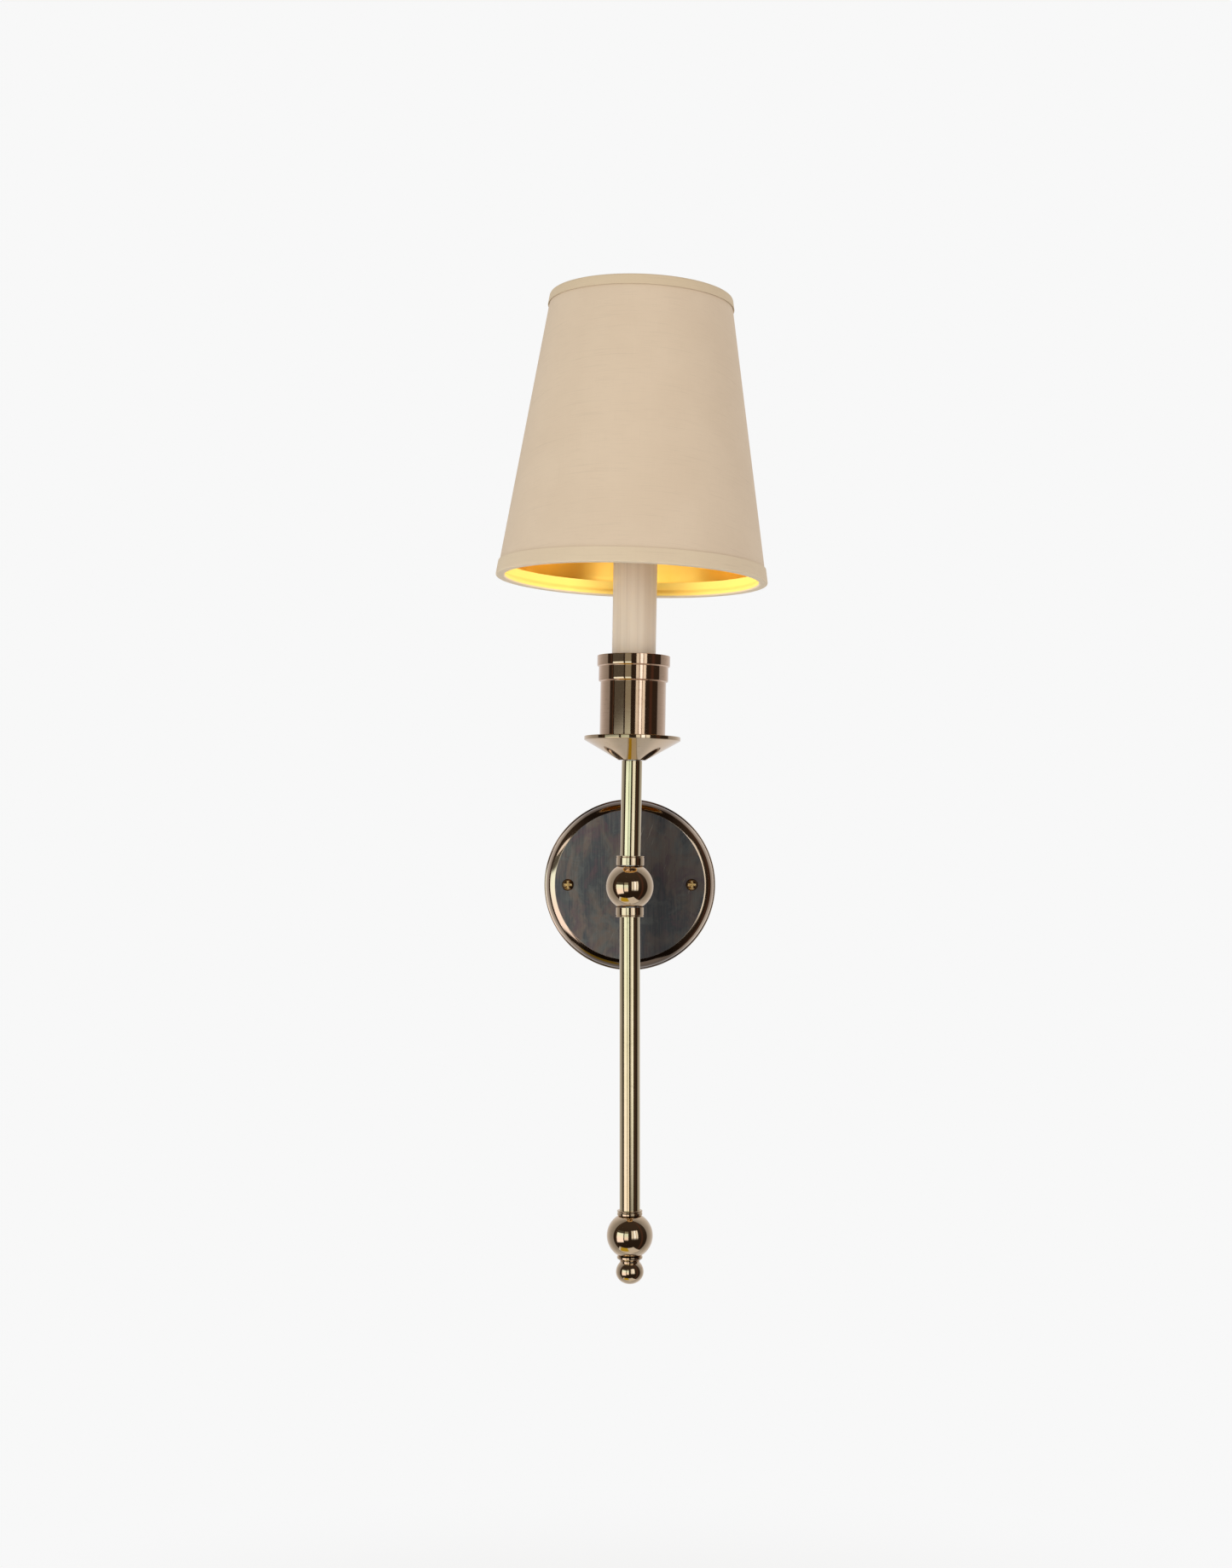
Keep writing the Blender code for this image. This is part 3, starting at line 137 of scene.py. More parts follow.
def surface(name, points, uv, closed_u, closed_v, pole_start=False, pole_end=False):
    """A mesh from a grid of points, rows along v and columns round u.

    A closed direction joins its last line to its first. A pole closes the first or the last row
    with one point at the row's middle. Faces are turned to point outwards by the volume's sign.
    """
    rows, columns = points.shape[:2]
    index = np.arange(rows * columns).reshape(rows, columns)
    across = index if not closed_u else np.concatenate([index, index[:, :1]], axis=1)
    down = across if not closed_v else np.concatenate([across, across[:1]], axis=0)
    quads = np.stack([down[:-1, :-1], down[:-1, 1:], down[1:, 1:], down[1:, :-1]], axis=-1)
    grid_uv = np.pad(uv, ((0, 1 if closed_v else 0), (0, 1 if closed_u else 0), (0, 0)), mode="edge")
    if closed_u:
        grid_uv[:, -1, 0] = grid_uv[:, -2, 0] + (grid_uv[:, -2, 0] - grid_uv[:, -3, 0])
    if closed_v:
        grid_uv[-1, :, 1] = grid_uv[-2, :, 1] + (grid_uv[-2, :, 1] - grid_uv[-3, :, 1])
    corner_uv = np.stack([grid_uv[:-1, :-1], grid_uv[:-1, 1:], grid_uv[1:, 1:], grid_uv[1:, :-1]], axis=2)
    quads, quad_uv = quads.reshape(-1, 4), corner_uv.reshape(-1, 4, 2)
    vertices = [points.reshape(-1, 3)]
    fans, fan_uvs = [np.zeros((0, 3), int)], [np.zeros((0, 3, 2))]
    for wanted, row in ((pole_start, 0), (pole_end, rows - 1)):
        if not wanted:
            continue
        tip = rows * columns + len(fans) - 1
        vertices.append(points[row].mean(axis=0)[None])
        ring, ring_uv = across[row], grid_uv[row]
        if row == 0:
            ring, ring_uv = ring[::-1], ring_uv[::-1]
        fans.append(np.stack([ring[:-1], ring[1:], np.full(len(ring) - 1, tip)], axis=-1))
        tip_uv = (ring_uv[:-1] + ring_uv[1:]) / 2
        fan_uvs.append(np.stack([ring_uv[:-1], ring_uv[1:], tip_uv], axis=1))
    vertices, triangles, triangle_uv = (np.concatenate(part) for part in (vertices, fans, fan_uvs))
    a, b, c, d = (vertices[quads[:, i]] for i in range(4))
    volume = np.einsum("ij,ij->i", a, np.cross(b, c) + np.cross(c, d)).sum()
    a, b, c = (vertices[triangles[:, i]] for i in range(3))
    volume += np.einsum("ij,ij->i", a, np.cross(b, c)).sum()
    if volume < 0:
        quads, quad_uv = quads[:, ::-1], quad_uv[:, ::-1]
        triangles, triangle_uv = triangles[:, ::-1], triangle_uv[:, ::-1]
    loops = np.concatenate([quads.ravel(), triangles.ravel()])
    loop_uv = np.concatenate([quad_uv.reshape(-1, 2), triangle_uv.reshape(-1, 2)])
    sizes = np.concatenate([np.full(len(quads), 4), np.full(len(triangles), 3)])
    mesh = bpy.data.meshes.new(name)
    mesh.vertices.add(len(vertices))
    mesh.vertices.foreach_set("co", vertices.astype(np.float32).ravel())
    mesh.loops.add(len(loops))
    mesh.loops.foreach_set("vertex_index", loops.astype(np.int32))
    mesh.polygons.add(len(sizes))
    mesh.polygons.foreach_set("loop_start", np.concatenate([[0], np.cumsum(sizes)[:-1]]).astype(np.int32))
    mesh.update(calc_edges=True)
    mesh.uv_layers.new(name="UVMap").data.foreach_set("uv", loop_uv.astype(np.float32).ravel())
    mesh.validate()
    mesh.shade_smooth()
    mesh.set_sharp_from_angle(angle=SHARP)
    made = bpy.data.objects.new(name, mesh)
    bpy.context.scene.collection.objects.link(made)
    return made


def softened(outline, closed, radius=EDGE, points=5):
    """The outline with each corner replaced by a short curve, no longer than a third of its sides.

    A corner's curve is the quadratic from one side to the other with the corner as its control point.
    A further point on each side, SUPPORT of the curve's reach off, keeps a long side's shading flat.
    """
    outline = np.array(outline, float)
    count = len(outline)
    t = np.linspace(0, 1, points)[:, None]
    made = []
    for i in range(count):
        if not closed and i in (0, count - 1):
            made.append(outline[i:i + 1])
            continue
        corner = outline[i]
        before, after = outline[i - 1] - corner, outline[(i + 1) % count] - corner
        reach = min(radius, np.linalg.norm(before) / 3, np.linalg.norm(after) / 3)
        start = before / np.linalg.norm(before) * reach
        end = after / np.linalg.norm(after) * reach
        curve = (1 - t) ** 2 * start + t**2 * end
        made.append(corner + np.concatenate([[start * SUPPORT], curve, [end * SUPPORT]]))
    return np.concatenate(made)


def bow(centre, radius, start, end, points=24):
    """Points (radius, height) on a circle about a centre on the profile, between two angles in degrees."""
    angle = np.radians(np.linspace(start, end, points))
    return np.stack([centre[0] + radius * np.cos(angle), centre[1] + radius * np.sin(angle)], axis=-1)


def lathe(name, axis, profile, hollow, turns=TURNS, shape=None):
    """A profile of (radius, height) carried round an axis: a ring if hollow, else closed on the axis.

    The UV map holds the angle and the length along the profile, in metres at the largest radius.
    """
    profile = np.array(profile, float)
    angle = np.linspace(0, 2 * math.pi, turns, endpoint=False) + math.pi
    length = np.concatenate([[0], np.cumsum(np.linalg.norm(np.diff(profile, axis=0), axis=1))])
    points = axis.place(profile[:, :1], angle[None], profile[:, 1:])
    if shape:
        points = shape(points)
    widest = profile[:, 0].max()
    uv = np.stack(np.broadcast_arrays(angle[None] * widest, length[:, None]), axis=-1)
    return surface(name, points, uv, True, hollow, not hollow, not hollow)


def finish_piece(obj, body, material, slot, *nodes):
    """Gives a piece its material and its body, and hides the CAD nodes that it stands for. The slot is not
    used.
    """
    obj.data.materials.clear()
    obj.data.materials.append(material)
    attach(obj, body)
    if nodes:
        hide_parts(*nodes)
    return obj


class Socket:
    """A node's output socket that takes part in arithmetic, by way of Math nodes."""

    def __init__(self, tree, output):
        self.tree = tree
        self.output = output

    def maths(self, operation, *values):
        node = self.tree.nodes.new("ShaderNodeMath")
        node.operation = operation
        for slot, value in zip(node.inputs, values):
            connect(self.tree, value, slot)
        return Socket(self.tree, node.outputs[0])

    def __add__(self, other):
        return self.maths("ADD", self, other)

    def __sub__(self, other):
        return self.maths("SUBTRACT", self, other)

    def __rsub__(self, other):
        return self.maths("SUBTRACT", other, self)

    def __mul__(self, other):
        return self.maths("MULTIPLY", self, other)

    def __truediv__(self, other):
        return self.maths("DIVIDE", self, other)

    def __pow__(self, other):
        return self.maths("POWER", self, other)

    def __neg__(self):
        return self.maths("MULTIPLY", self, -1)

    def __abs__(self):
        return self.maths("ABSOLUTE", self)

    def wave(self):
        return self.maths("SINE", self)

    __radd__ = __add__
    __rmul__ = __mul__


def connect(tree, value, slot):
    """Links a socket to a node's input, or sets the input to a number, a vector or a colour."""
    if isinstance(value, Socket):
        tree.links.new(value.output, slot)
    elif isinstance(value, tuple) and len(value) == 3 and slot.type == "RGBA":
        slot.default_value = (*value, 1)
    else:
        slot.default_value = value


class Graph:
    """A node tree that is written as expressions."""

    def __init__(self, tree):
        self.tree = tree
        tree.nodes.clear()

    def node(self, kind, settings=None, output=0, **inputs):
        """Adds a node: its settings first, such as an operation, then its sockets."""
        node = self.tree.nodes.new("ShaderNode" + kind)
        for key, value in (settings or {}).items():
            setattr(node, key, value)
        slots = {slot.name: slot for slot in reversed(node.inputs) if slot.enabled}
        for key, value in inputs.items():
            connect(self.tree, value, slots[key.replace("_", " ")])
        found = [slot for slot in node.outputs if slot.enabled]
        return Socket(self.tree, found[output] if isinstance(output, int) else node.outputs[output])

    def end(self, shader, kind="OutputMaterial"):
        """Joins a shader to the tree's output."""
        output = self.tree.nodes.new("ShaderNode" + kind)
        connect(self.tree, shader, output.inputs[0])

    def mix(self, share, first, second):
        """A colour between two colours; each is a tuple or a socket."""
        return self.node("Mix", {"data_type": "RGBA"}, Factor=share, A=first, B=second)

    def noise(self, at, scale, detail=3.0, roughness=0.55, distortion=0.0):
        return self.node("TexNoise", Vector=at, Scale=scale, Detail=detail, Roughness=roughness,
                         Distortion=distortion)

    def stretched(self, at, x, y, z):
        """The coordinates with each direction scaled, for marks that run along one of them."""
        return self.node("Mapping", Vector=at, Scale=(x, y, z))

    def smooth(self, value, low, high):
        """Nought at one value and one at another, smoothly between them and held beyond them."""
        settings = {"interpolation_type": "SMOOTHSTEP"}
        return self.node("MapRange", settings, Value=value, From_Min=low, From_Max=high)

    def within(self, value, low, high, soft):
        """One between two limits and nothing beyond them, with soft edges."""
        return self.smooth(value, low - soft, low + soft) * self.smooth(value, high + soft, high - soft)

    def uv(self):
        return self.node("TexCoord", output="UV")

    def place(self):
        return self.node("TexCoord", output="Object")

    def parts(self, vector):
        return [self.node("SeparateXYZ", output=i, Vector=vector) for i in range(3)]

    def bump(self, height, strength, distance):
        return self.node("Bump", Height=height, Strength=strength, Distance=distance)


def new_material(name):
    """An empty material, and the graph that fills it."""
    material = bpy.data.materials.new(name)
    material.use_nodes = True
    return material, Graph(material.node_tree)


def finish(name, build, **constants):
    """A material: build(graph) gives the shader's varying sockets, and the rest are constants."""
    material, graph = new_material(name)
    graph.end(graph.node("BsdfPrincipled", **build(graph), **constants))
    return material


def metal(name, colour, warm, roughness, marks, tarnish):
    """Polished metal with a warmer tone in cloudy patches, fine turning rings and faint scratches.

    The rings are noise that changes only along the profile, so they run round the piece.
    """
    def build(graph):
        uv, place = graph.uv(), graph.place()
        rings = graph.noise(graph.stretched(uv, 3.0, 3600.0, 1.0), 1.0, 4.0, 0.7)
        clouds = graph.noise(place, 55.0, 4.0, 0.6)
        spots = graph.noise(place, 420.0, 3.0, 0.6)
        scratch = graph.noise(graph.stretched(place, 2600.0, 2600.0, 60.0), 1.0, 2.0, 0.5)
        scratch = graph.smooth(scratch, 0.66, 0.74)
        tone = graph.mix(graph.smooth(clouds, 0.35, 0.7), colour, warm)
        dull = tuple(c * 0.55 for c in warm)
        tone = graph.mix(graph.smooth(spots, 0.58, 0.8) * tarnish, tone, dull)
        tone = graph.mix(graph.smooth(rings, 0.55, 0.75) * marks * 0.5, tone, dull)
        rough = roughness + marks * 0.06 * rings + scratch * 0.05 + graph.smooth(clouds, 0.5, 0.8) * 0.02
        return {"Base_Color": tone, "Roughness": rough,
                "Normal": graph.bump(rings * marks - scratch * 0.3, 0.10 + 0.15 * marks, 0.00001)}
    return finish(name, build, Metallic=1.0)


def aged_plate(graph):
    """Dark aged brass, brushed up and down, clouded blue and purple, with a few long faint scratches.

    The flat field is dark, with painted shade that darkens it towards its right side; the rolled edge beyond
    the crease is brass-coloured at its sides and brown at its top and foot.
    """
    place = graph.place()
    x, _, z = graph.parts(place)
    radius = (x * x + z * z) ** 0.5
    brushed = graph.noise(graph.stretched(place, 1500.0, 1500.0, 40.0), 1.0, 4.0, 0.65)
    clouds = graph.noise(graph.stretched(place, 62.0, 62.0, 26.0), 1.0, 4.0, 0.6, 0.6)
    stain = graph.noise(place, 75.0, 5.0, 0.62, 1.2)
    tone = graph.mix(graph.smooth(clouds, 0.42, 0.58), (0.125, 0.135, 0.160), (0.285, 0.220, 0.200))
    tone = graph.mix(graph.smooth(stain, 0.50, 0.66) * 0.8, tone, (0.215, 0.145, 0.175))
    tone = graph.mix(graph.smooth(stain, 0.50, 0.36) * 0.5, tone, (0.240, 0.255, 0.260))
    tone = graph.mix(graph.smooth(brushed, 0.35, 0.75) * 0.45, tone, (0.360, 0.330, 0.300))
    # Painted shade: the field is darkened towards its right side, away from the light.
    lit_side_and_rim_sides = graph.smooth(x + clouds * 0.03, 0.030, -0.010)
    tone = graph.mix(lit_side_and_rim_sides, graph.mix(0.55, tone, (0.02, 0.02, 0.022)), tone)
    turned = graph.node("VectorRotate", {"rotation_type": "Y_AXIS"}, Vector=place, Angle=1.2)
    hairs = graph.noise(graph.stretched(turned, 45.0, 1.0, 2600.0), 1.0, 1.0, 0.4)
    scratch = graph.smooth(hairs, 0.68, 0.74) * graph.smooth(clouds, 0.45, 0.6)
    tone = graph.mix(scratch * 0.6, tone, (0.46, 0.42, 0.38))
    rubbed = graph.smooth(radius, crease_radius - 0.2 * MM, crease_radius + 0.2 * MM)
    brass_tone = graph.mix(graph.smooth(clouds, 0.3, 0.7), (0.66, 0.53, 0.40), (0.56, 0.43, 0.33))
    # The rolled edge is dark brown at its top and foot and brass-coloured towards its left and right sides.
    lit_side_and_rim_sides = graph.smooth(abs(x) / radius + clouds * 0.2, 0.55, 0.95)
    brass_tone = graph.mix(lit_side_and_rim_sides, (0.15, 0.11, 0.085), brass_tone)
    rough = 0.30 + brushed * 0.14 - scratch * 0.05
    polished = 0.08 + graph.smooth(clouds, 0.4, 0.8) * 0.06
    return {"Base_Color": graph.mix(rubbed, tone, brass_tone),
            "Roughness": rough * (1 - rubbed) + polished * rubbed,
            "Normal": graph.bump(brushed * (1 - rubbed) * 0.6 - scratch, 0.25, 0.00003)}


def card(graph):
    """Painted card tube: satin cream with soft streaks that run up it, and a little dust."""
    streaks = graph.noise(graph.stretched(graph.place(), 1100.0, 1100.0, 9.0), 1.0, 3.0, 0.6)
    broad = graph.noise(graph.stretched(graph.place(), 260.0, 260.0, 5.0), 1.0, 2.0, 0.5)
    dust = graph.noise(graph.place(), 900.0, 2.0, 0.5)
    tone = graph.mix(graph.smooth(broad, 0.35, 0.65), (0.70, 0.62, 0.50), (0.66, 0.575, 0.46))
    tone = graph.mix(graph.smooth(streaks, 0.45, 0.75) * 0.3, tone, (0.52, 0.44, 0.34))
    tone = graph.mix(graph.smooth(dust, 0.62, 0.8) * 0.25, tone, (0.68, 0.60, 0.48))
    return {"Base_Color": tone, "Roughness": 0.36 + streaks * 0.16,
            "Normal": graph.bump(streaks, 0.12, 0.00005)}


def linen(base, pale, threads, foil_light_band=None, painted_edge_highlight=0.0):
    """Fine plain weave: threads that cross over and under, with slubs along the weft and soft mottling.

    The weave is a product of two sines of the cloth's own flat coordinates, in metres. On a folded
    tape, the inner part is painted yellow as reflected light from the gold foil: the fourth argument
    gives that part's middle and half width. The last argument, from 0 to 1, is how much paler the
    tape's outer edge is painted, as a highlight where light catches it.
    """
    def build(graph):
        u, v, _ = graph.parts(graph.uv())
        step = 2 * math.pi * threads
        wave_u = (u * step).wave()
        wave_v = (v * step).wave()
        weave = wave_u * wave_v * 0.5 + 0.5
        slub = graph.noise(graph.stretched(graph.uv(), 70.0, 2600.0, 1.0), 1.0, 3.0, 0.6)
        long_slub = graph.noise(graph.stretched(graph.uv(), 22.0, 900.0, 1.0), 1.0, 2.0, 0.5)
        upright = graph.noise(graph.stretched(graph.uv(), 2200.0, 60.0, 1.0), 1.0, 2.0, 0.5)
        mottle = graph.noise(graph.uv(), 26.0, 3.0, 0.55)
        tone = graph.mix(graph.smooth(mottle, 0.35, 0.65) * 0.5, base, pale)
        dark = tuple(c * 0.80 for c in base)
        tone = graph.mix(graph.smooth(slub, 0.5, 0.8) * 0.40, tone, dark)
        tone = graph.mix(graph.smooth(long_slub, 0.6, 0.75) * 0.30, tone, dark)
        tone = graph.mix(graph.smooth(upright, 0.5, 0.8) * 0.10, tone, dark)
        tone = graph.mix((1 - weave) * 0.10, tone, dark)
        # A painted highlight: the tape's outer edge is made paler, where light catches it.
        edge = graph.smooth(v, 1.5 * MM, 0.9 * MM) * painted_edge_highlight
        tone = graph.mix(edge, tone, tuple(c * 1.28 for c in pale))
        # Painted reflected light: the tape's inner part takes the yellow that the gold foil throws on it.
        if foil_light_band:
            share = graph.smooth(abs(v - foil_light_band[0]), foil_light_band[1] + 0.2 * MM, foil_light_band[1] - 0.6 * MM)
            tone = graph.mix(share, tone, (1.0, 0.74, 0.17))
        height = weave + slub * 1.2 + graph.smooth(long_slub, 0.6, 0.75) + upright * 0.5
        return {"Base_Color": tone, "Roughness": 0.82 + 0.12 * weave,
                "Normal": graph.bump(height, 0.35, 0.00006)}
    return build


def foil(graph):
    """Gold foil on card: bright, slightly crinkled along the roll, warmer in cloudy patches."""
    uv = graph.uv()
    crinkle = graph.noise(graph.stretched(uv, 18.0, 420.0, 1.0), 1.0, 3.0, 0.55)
    clouds = graph.noise(uv, 40.0, 3.0, 0.5)
    tone = graph.mix(graph.smooth(clouds, 0.3, 0.7), (1.0, 0.62, 0.13), (0.98, 0.56, 0.09))
    return {"Base_Color": tone, "Roughness": 0.27 + crinkle * 0.14,
            "Normal": graph.bump(crinkle, 0.2, 0.0001)}


def crossed(centre, bar, long):
    """Brown aged brass, worn bright in a screw's cross recess about a centre."""
    def build(graph):
        x, _, z = graph.parts(graph.place())
        across, up = abs(x - centre[0]), abs(z - centre[2])
        narrow, wide = across.maths("MINIMUM", across, up), across.maths("MAXIMUM", across, up)
        arms = graph.smooth(narrow, bar * 1.05, bar * 0.85) * graph.smooth(wide, long * 1.05, long * 0.9)
        fine = graph.noise(graph.place(), 900.0, 3.0, 0.6)
        tone = graph.mix(fine, (0.22, 0.13, 0.06), (0.34, 0.21, 0.10))
        tone = graph.mix(arms, tone, graph.mix(fine, (1.0, 0.86, 0.56), (0.90, 0.70, 0.38)))
        return {"Base_Color": tone, "Roughness": 0.16 + arms * 0.30 + fine * 0.08,
                "Normal": graph.bump(fine, 0.15, 0.00002)}
    return build


def plain(colour, roughness, spread=0.12, scale=300.0, grain=0.15):
    """A moulded or plated finish: a base colour mottled by a fine noise, with a light grain."""
    def build(graph):
        fine = graph.noise(graph.place(), scale, 3.0, 0.6)
        broad = graph.noise(graph.place(), scale / 7, 2.0, 0.5)
        dark = tuple(c * (1 - spread) for c in colour)
        light = tuple(min(1.0, c * (1 + spread)) for c in colour)
        return {"Base_Color": graph.mix(graph.smooth(broad + fine * 0.5, 0.5, 1.0), dark, light),
                "Roughness": roughness + fine * 0.12,
                "Normal": graph.bump(fine, grain, 0.00002)}
    return build


def striped(graph):
    """Green sleeve with a yellow stripe that winds along the wire."""
    x, y, z = graph.parts(graph.place())
    stripe = graph.smooth(((x + y) * 1500.0 + z * 500.0).wave(), -0.1, 0.1)
    return {"Base_Color": graph.mix(stripe, (0.10, 0.38, 0.06), (0.78, 0.68, 0.06)),
            "Roughness": 0.38 + graph.noise(graph.place(), 400.0) * 0.1}


def clear(graph):
    """Thin clear glass with the faintest unevenness."""
    return {"Base_Color": graph.mix(graph.noise(graph.place(), 60.0), (0.97, 0.98, 0.98), (1.0, 1.0, 1.0)),
            "Roughness": 0.01 + graph.noise(graph.place(), 200.0) * 0.02}


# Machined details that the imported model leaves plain.
CREASE_INSET = 1.4 * MM    # the plate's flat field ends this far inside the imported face
ROLL_TILTS = (14, 36, 50, 80)                  # tilts off the field, in degrees, that bound the edge's arcs
ROLL_WIDTHS = (3.6 * MM, 0.3 * MM, 1.9 * MM)   # widths of those arcs, outwards from the crease
LIP = 1.3 * MM             # rounding of the plate's low outer lip
TAPER_RISE = 1.0 * MM      # slight taper at the foot of each ring of the cup
TAPER_IN = 0.13 * MM
RING_CHAMFER = 0.6 * MM
COLLAR_GROOVE = 0.3 * MM   # depth of the groove round each collar
TIP_SQUASH = 0.87          # height of the finial tip's lower half, as a share of a ball's
SCREW_BAR = 0.75 * MM      # half width, half length and depth of a screw's cross recess
SCREW_LONG = 2.5 * MM
SCREW_DEPTH = 0.95 * MM
TAPE = 0.5 * MM            # thickness of the shade's tape
LAP_WIDTH = 11 * MM        # where the ends of the cover overlap at the back
INNER_HEM = 2 * MM         # how much further the lower tape reaches up the inside
FOLD_RISE = 2.4 * MM       # height of the tape's fold round the wire ring
FOLD_WIDTH = 2.2 * MM      # room for the ring between the fold's two sides

plate_low, plate_top, plate_bore, plate_radius = WALL.span("backplate")
crease_radius = WALL.radii_at("backplate", plate_top)[1] - CREASE_INSET

BRASS = metal("polished_brass", (0.64, 0.50, 0.36), (0.60, 0.46, 0.31), 0.045, 0.25, 0.5)
TUBE_BRASS = metal("polished_brass_tube", (0.66, 0.55, 0.38), (0.62, 0.52, 0.34), 0.05, 0.1, 0.4)
CUP_BRASS = metal("turned_brass_cup", (0.66, 0.475, 0.35), (0.60, 0.42, 0.295), 0.03, 1.0, 0.5)
BRIGHT = metal("bright_brass", (0.78, 0.55, 0.25), (0.66, 0.42, 0.16), 0.14, 0.3, 0.7)
PLATE = finish("aged_brass_plate", aged_plate, Metallic=1.0)
STEEL = finish("zinc_steel", plain((0.62, 0.62, 0.61), 0.30, 0.15, 500.0), Metallic=1.0)
CARD = finish("cream_card_sleeve", card, Coat_Weight=0.25, Coat_Roughness=0.3)
LINEN = finish("cream_linen", linen((0.66, 0.535, 0.395), (0.70, 0.575, 0.43), 1900.0), Sheen_Weight=0.1)
FOIL = finish("gold_foil", foil, Metallic=0.85)
CREAM = finish("cream_plastic", plain((0.72, 0.66, 0.53), 0.35, 0.06))
WHITE = finish("white_plastic", plain((0.80, 0.80, 0.77), 0.32, 0.05))
BLACK = finish("black_glass", plain((0.02, 0.02, 0.022), 0.12, 0.3))
BROWN = finish("brown_insulation", plain((0.20, 0.08, 0.035), 0.38, 0.1))
BLUE = finish("blue_insulation", plain((0.03, 0.12, 0.48), 0.38, 0.1))
GREEN = finish("green_insulation", striped)
GLASS = finish("clear_glass", clear, Transmission_Weight=1.0, IOR=1.45)


def make_backplate():
    """Flat field, a crease where a rolled edge starts off tilted, and a low rounded lip round it."""
    wall = plate_radius - WALL.radii_at("backplate", plate_low)[0]
    columns = 30
    start, arcs = np.array([crease_radius, plate_top]), []
    for low, high, width in zip(ROLL_TILTS, ROLL_TILTS[1:], ROLL_WIDTHS):
        bend = width / (math.sin(math.radians(high)) - math.sin(math.radians(low)))
        centre = start - bend * np.array([math.sin(math.radians(low)), math.cos(math.radians(low))])
        arcs.append(bow(centre, bend, 90 - low, 90 - high, 16)[bool(arcs):])
        start = arcs[-1][-1]
    roll = np.concatenate(arcs)
    slope = np.gradient(roll, axis=0)
    slope /= np.linalg.norm(slope, axis=1)[:, None]
    inner = (roll + np.stack([slope[:, 1], -slope[:, 0]], axis=-1) * wall)[::-1]
    lip_low = roll[-1, 1] - 2 * LIP
    lip = bow((plate_radius - LIP, lip_low), LIP, 90, 0, 12)
    inside = plate_radius - wall
    foot = [(plate_radius, plate_low), (inside, plate_low), (inside, lip_low - wall),
            (inner[0, 0], lip_low + LIP)]
    across = [*np.linspace(plate_bore, crease_radius, columns)[:-1], crease_radius - 0.1 * MM]
    field = np.stack([across, np.full(columns, plate_top)], axis=-1)
    step = [(roll[-1, 0], lip_low + LIP)]
    under = [(inner[-1, 0] - 1 * MM, plate_top - wall), (plate_bore, plate_top - wall)]
    outline = np.concatenate([field, roll, step, lip[1:], foot, inner, under])
    plate = lathe("backplate_spun", WALL, outline, True, 256)
    return finish_piece(plate, "fixture", PLATE, "aged_brass_plate", "backplate")


def make_screw(side):
    """A domed head with a cross recess, on a plain shank.

    The head's height is a circle's cap. The recess is two crossed grooves, each deepest along its
    middle line: the depth falls off evenly to the groove's sides and ends.
    """
    node = f"backplate_screw_{side}"
    centre = middle(node)
    axis = Frame((centre[0], 0, centre[2]), (0, -1, 0))
    low, high, _, head = axis.span(node)
    under = plate_top + 0.3 * MM
    shank = axis.radii_at(node, low)[1]
    rise = high - under
    ball = (head**2 + rise**2) / (2 * rise)
    radius = head * np.sin(np.linspace(0.02, 1, 40) * math.pi / 2)
    cap = under + rise - ball + np.sqrt(ball**2 - radius**2)
    flat = under - 0.25 * MM
    side_wall = softened([(head, cap[-1]), (head, flat), (shank, flat), (shank, low)], False, 0.15 * MM)
    outline = np.concatenate([np.stack([radius, cap], axis=-1), side_wall])

    def recess(points):
        away = points - axis.centre
        across = np.abs(away @ axis.right)
        up = np.abs(away @ axis.front)
        narrow, wide = np.minimum(across, up), np.maximum(across, up)
        cut = np.clip(1.08 - narrow / SCREW_BAR, 0, 1) * np.clip((SCREW_LONG - wide) / (0.7 * MM), 0, 1)
        cut[len(radius):] = 0
        return points - (cut * SCREW_DEPTH)[..., None] * axis.up

    screw = lathe(f"{node}_domed", axis, outline, False, 144, recess)
    material = finish(f"screw_brass_{side}", crossed(centre, SCREW_BAR, SCREW_LONG), Metallic=1.0)
    return finish_piece(screw, "fixture", material, "bright_brass", node)


def turned_ring(name, axis, material, node, steps=(), slot="polished_brass"):
    """A tube or collar with a plain bore, whose outside steps through (radius, height) pairs."""
    low, high, bore, radius = axis.span(node)
    outside = list(steps) or [(radius, high), (radius, low)]
    ring = lathe(name, axis, softened([(bore, high), *outside, (bore, low)], True), True)
    return finish_piece(ring, "fixture", material, slot, node)


def bored_ball(name, node, centre, radius, reach, bore, shape=None):
    """A brass ball cut flat at a reach above and below its centre, with a bore through it."""
    flat = math.degrees(math.asin(reach / radius))
    sphere = bow((0, centre), radius, flat, -flat, 72)
    outline = np.concatenate([[(bore, sphere[0, 1])], sphere, [(bore, sphere[-1, 1])]])
    finish_piece(lathe(name, LOWER, outline, True, 192, shape), "fixture", BRASS, "polished_brass", node)


def make_collar(node, axis, away):
    """A plain collar with a fine groove near the face that is away from the ball."""
    low, high, _, radius = axis.span(node)
    far, near, sign = (high, low, -1) if away else (low, high, 1)
    sunk = radius - COLLAR_GROOVE
    groove = [(radius, far), (radius, far + sign * 0.55 * MM), (sunk, far + sign * 0.75 * MM),
              (sunk, far + sign * 0.95 * MM), (radius, far + sign * 1.15 * MM), (radius, near)]
    turned_ring(f"{node}_turned", axis, BRASS, node, groove if away else groove[::-1])


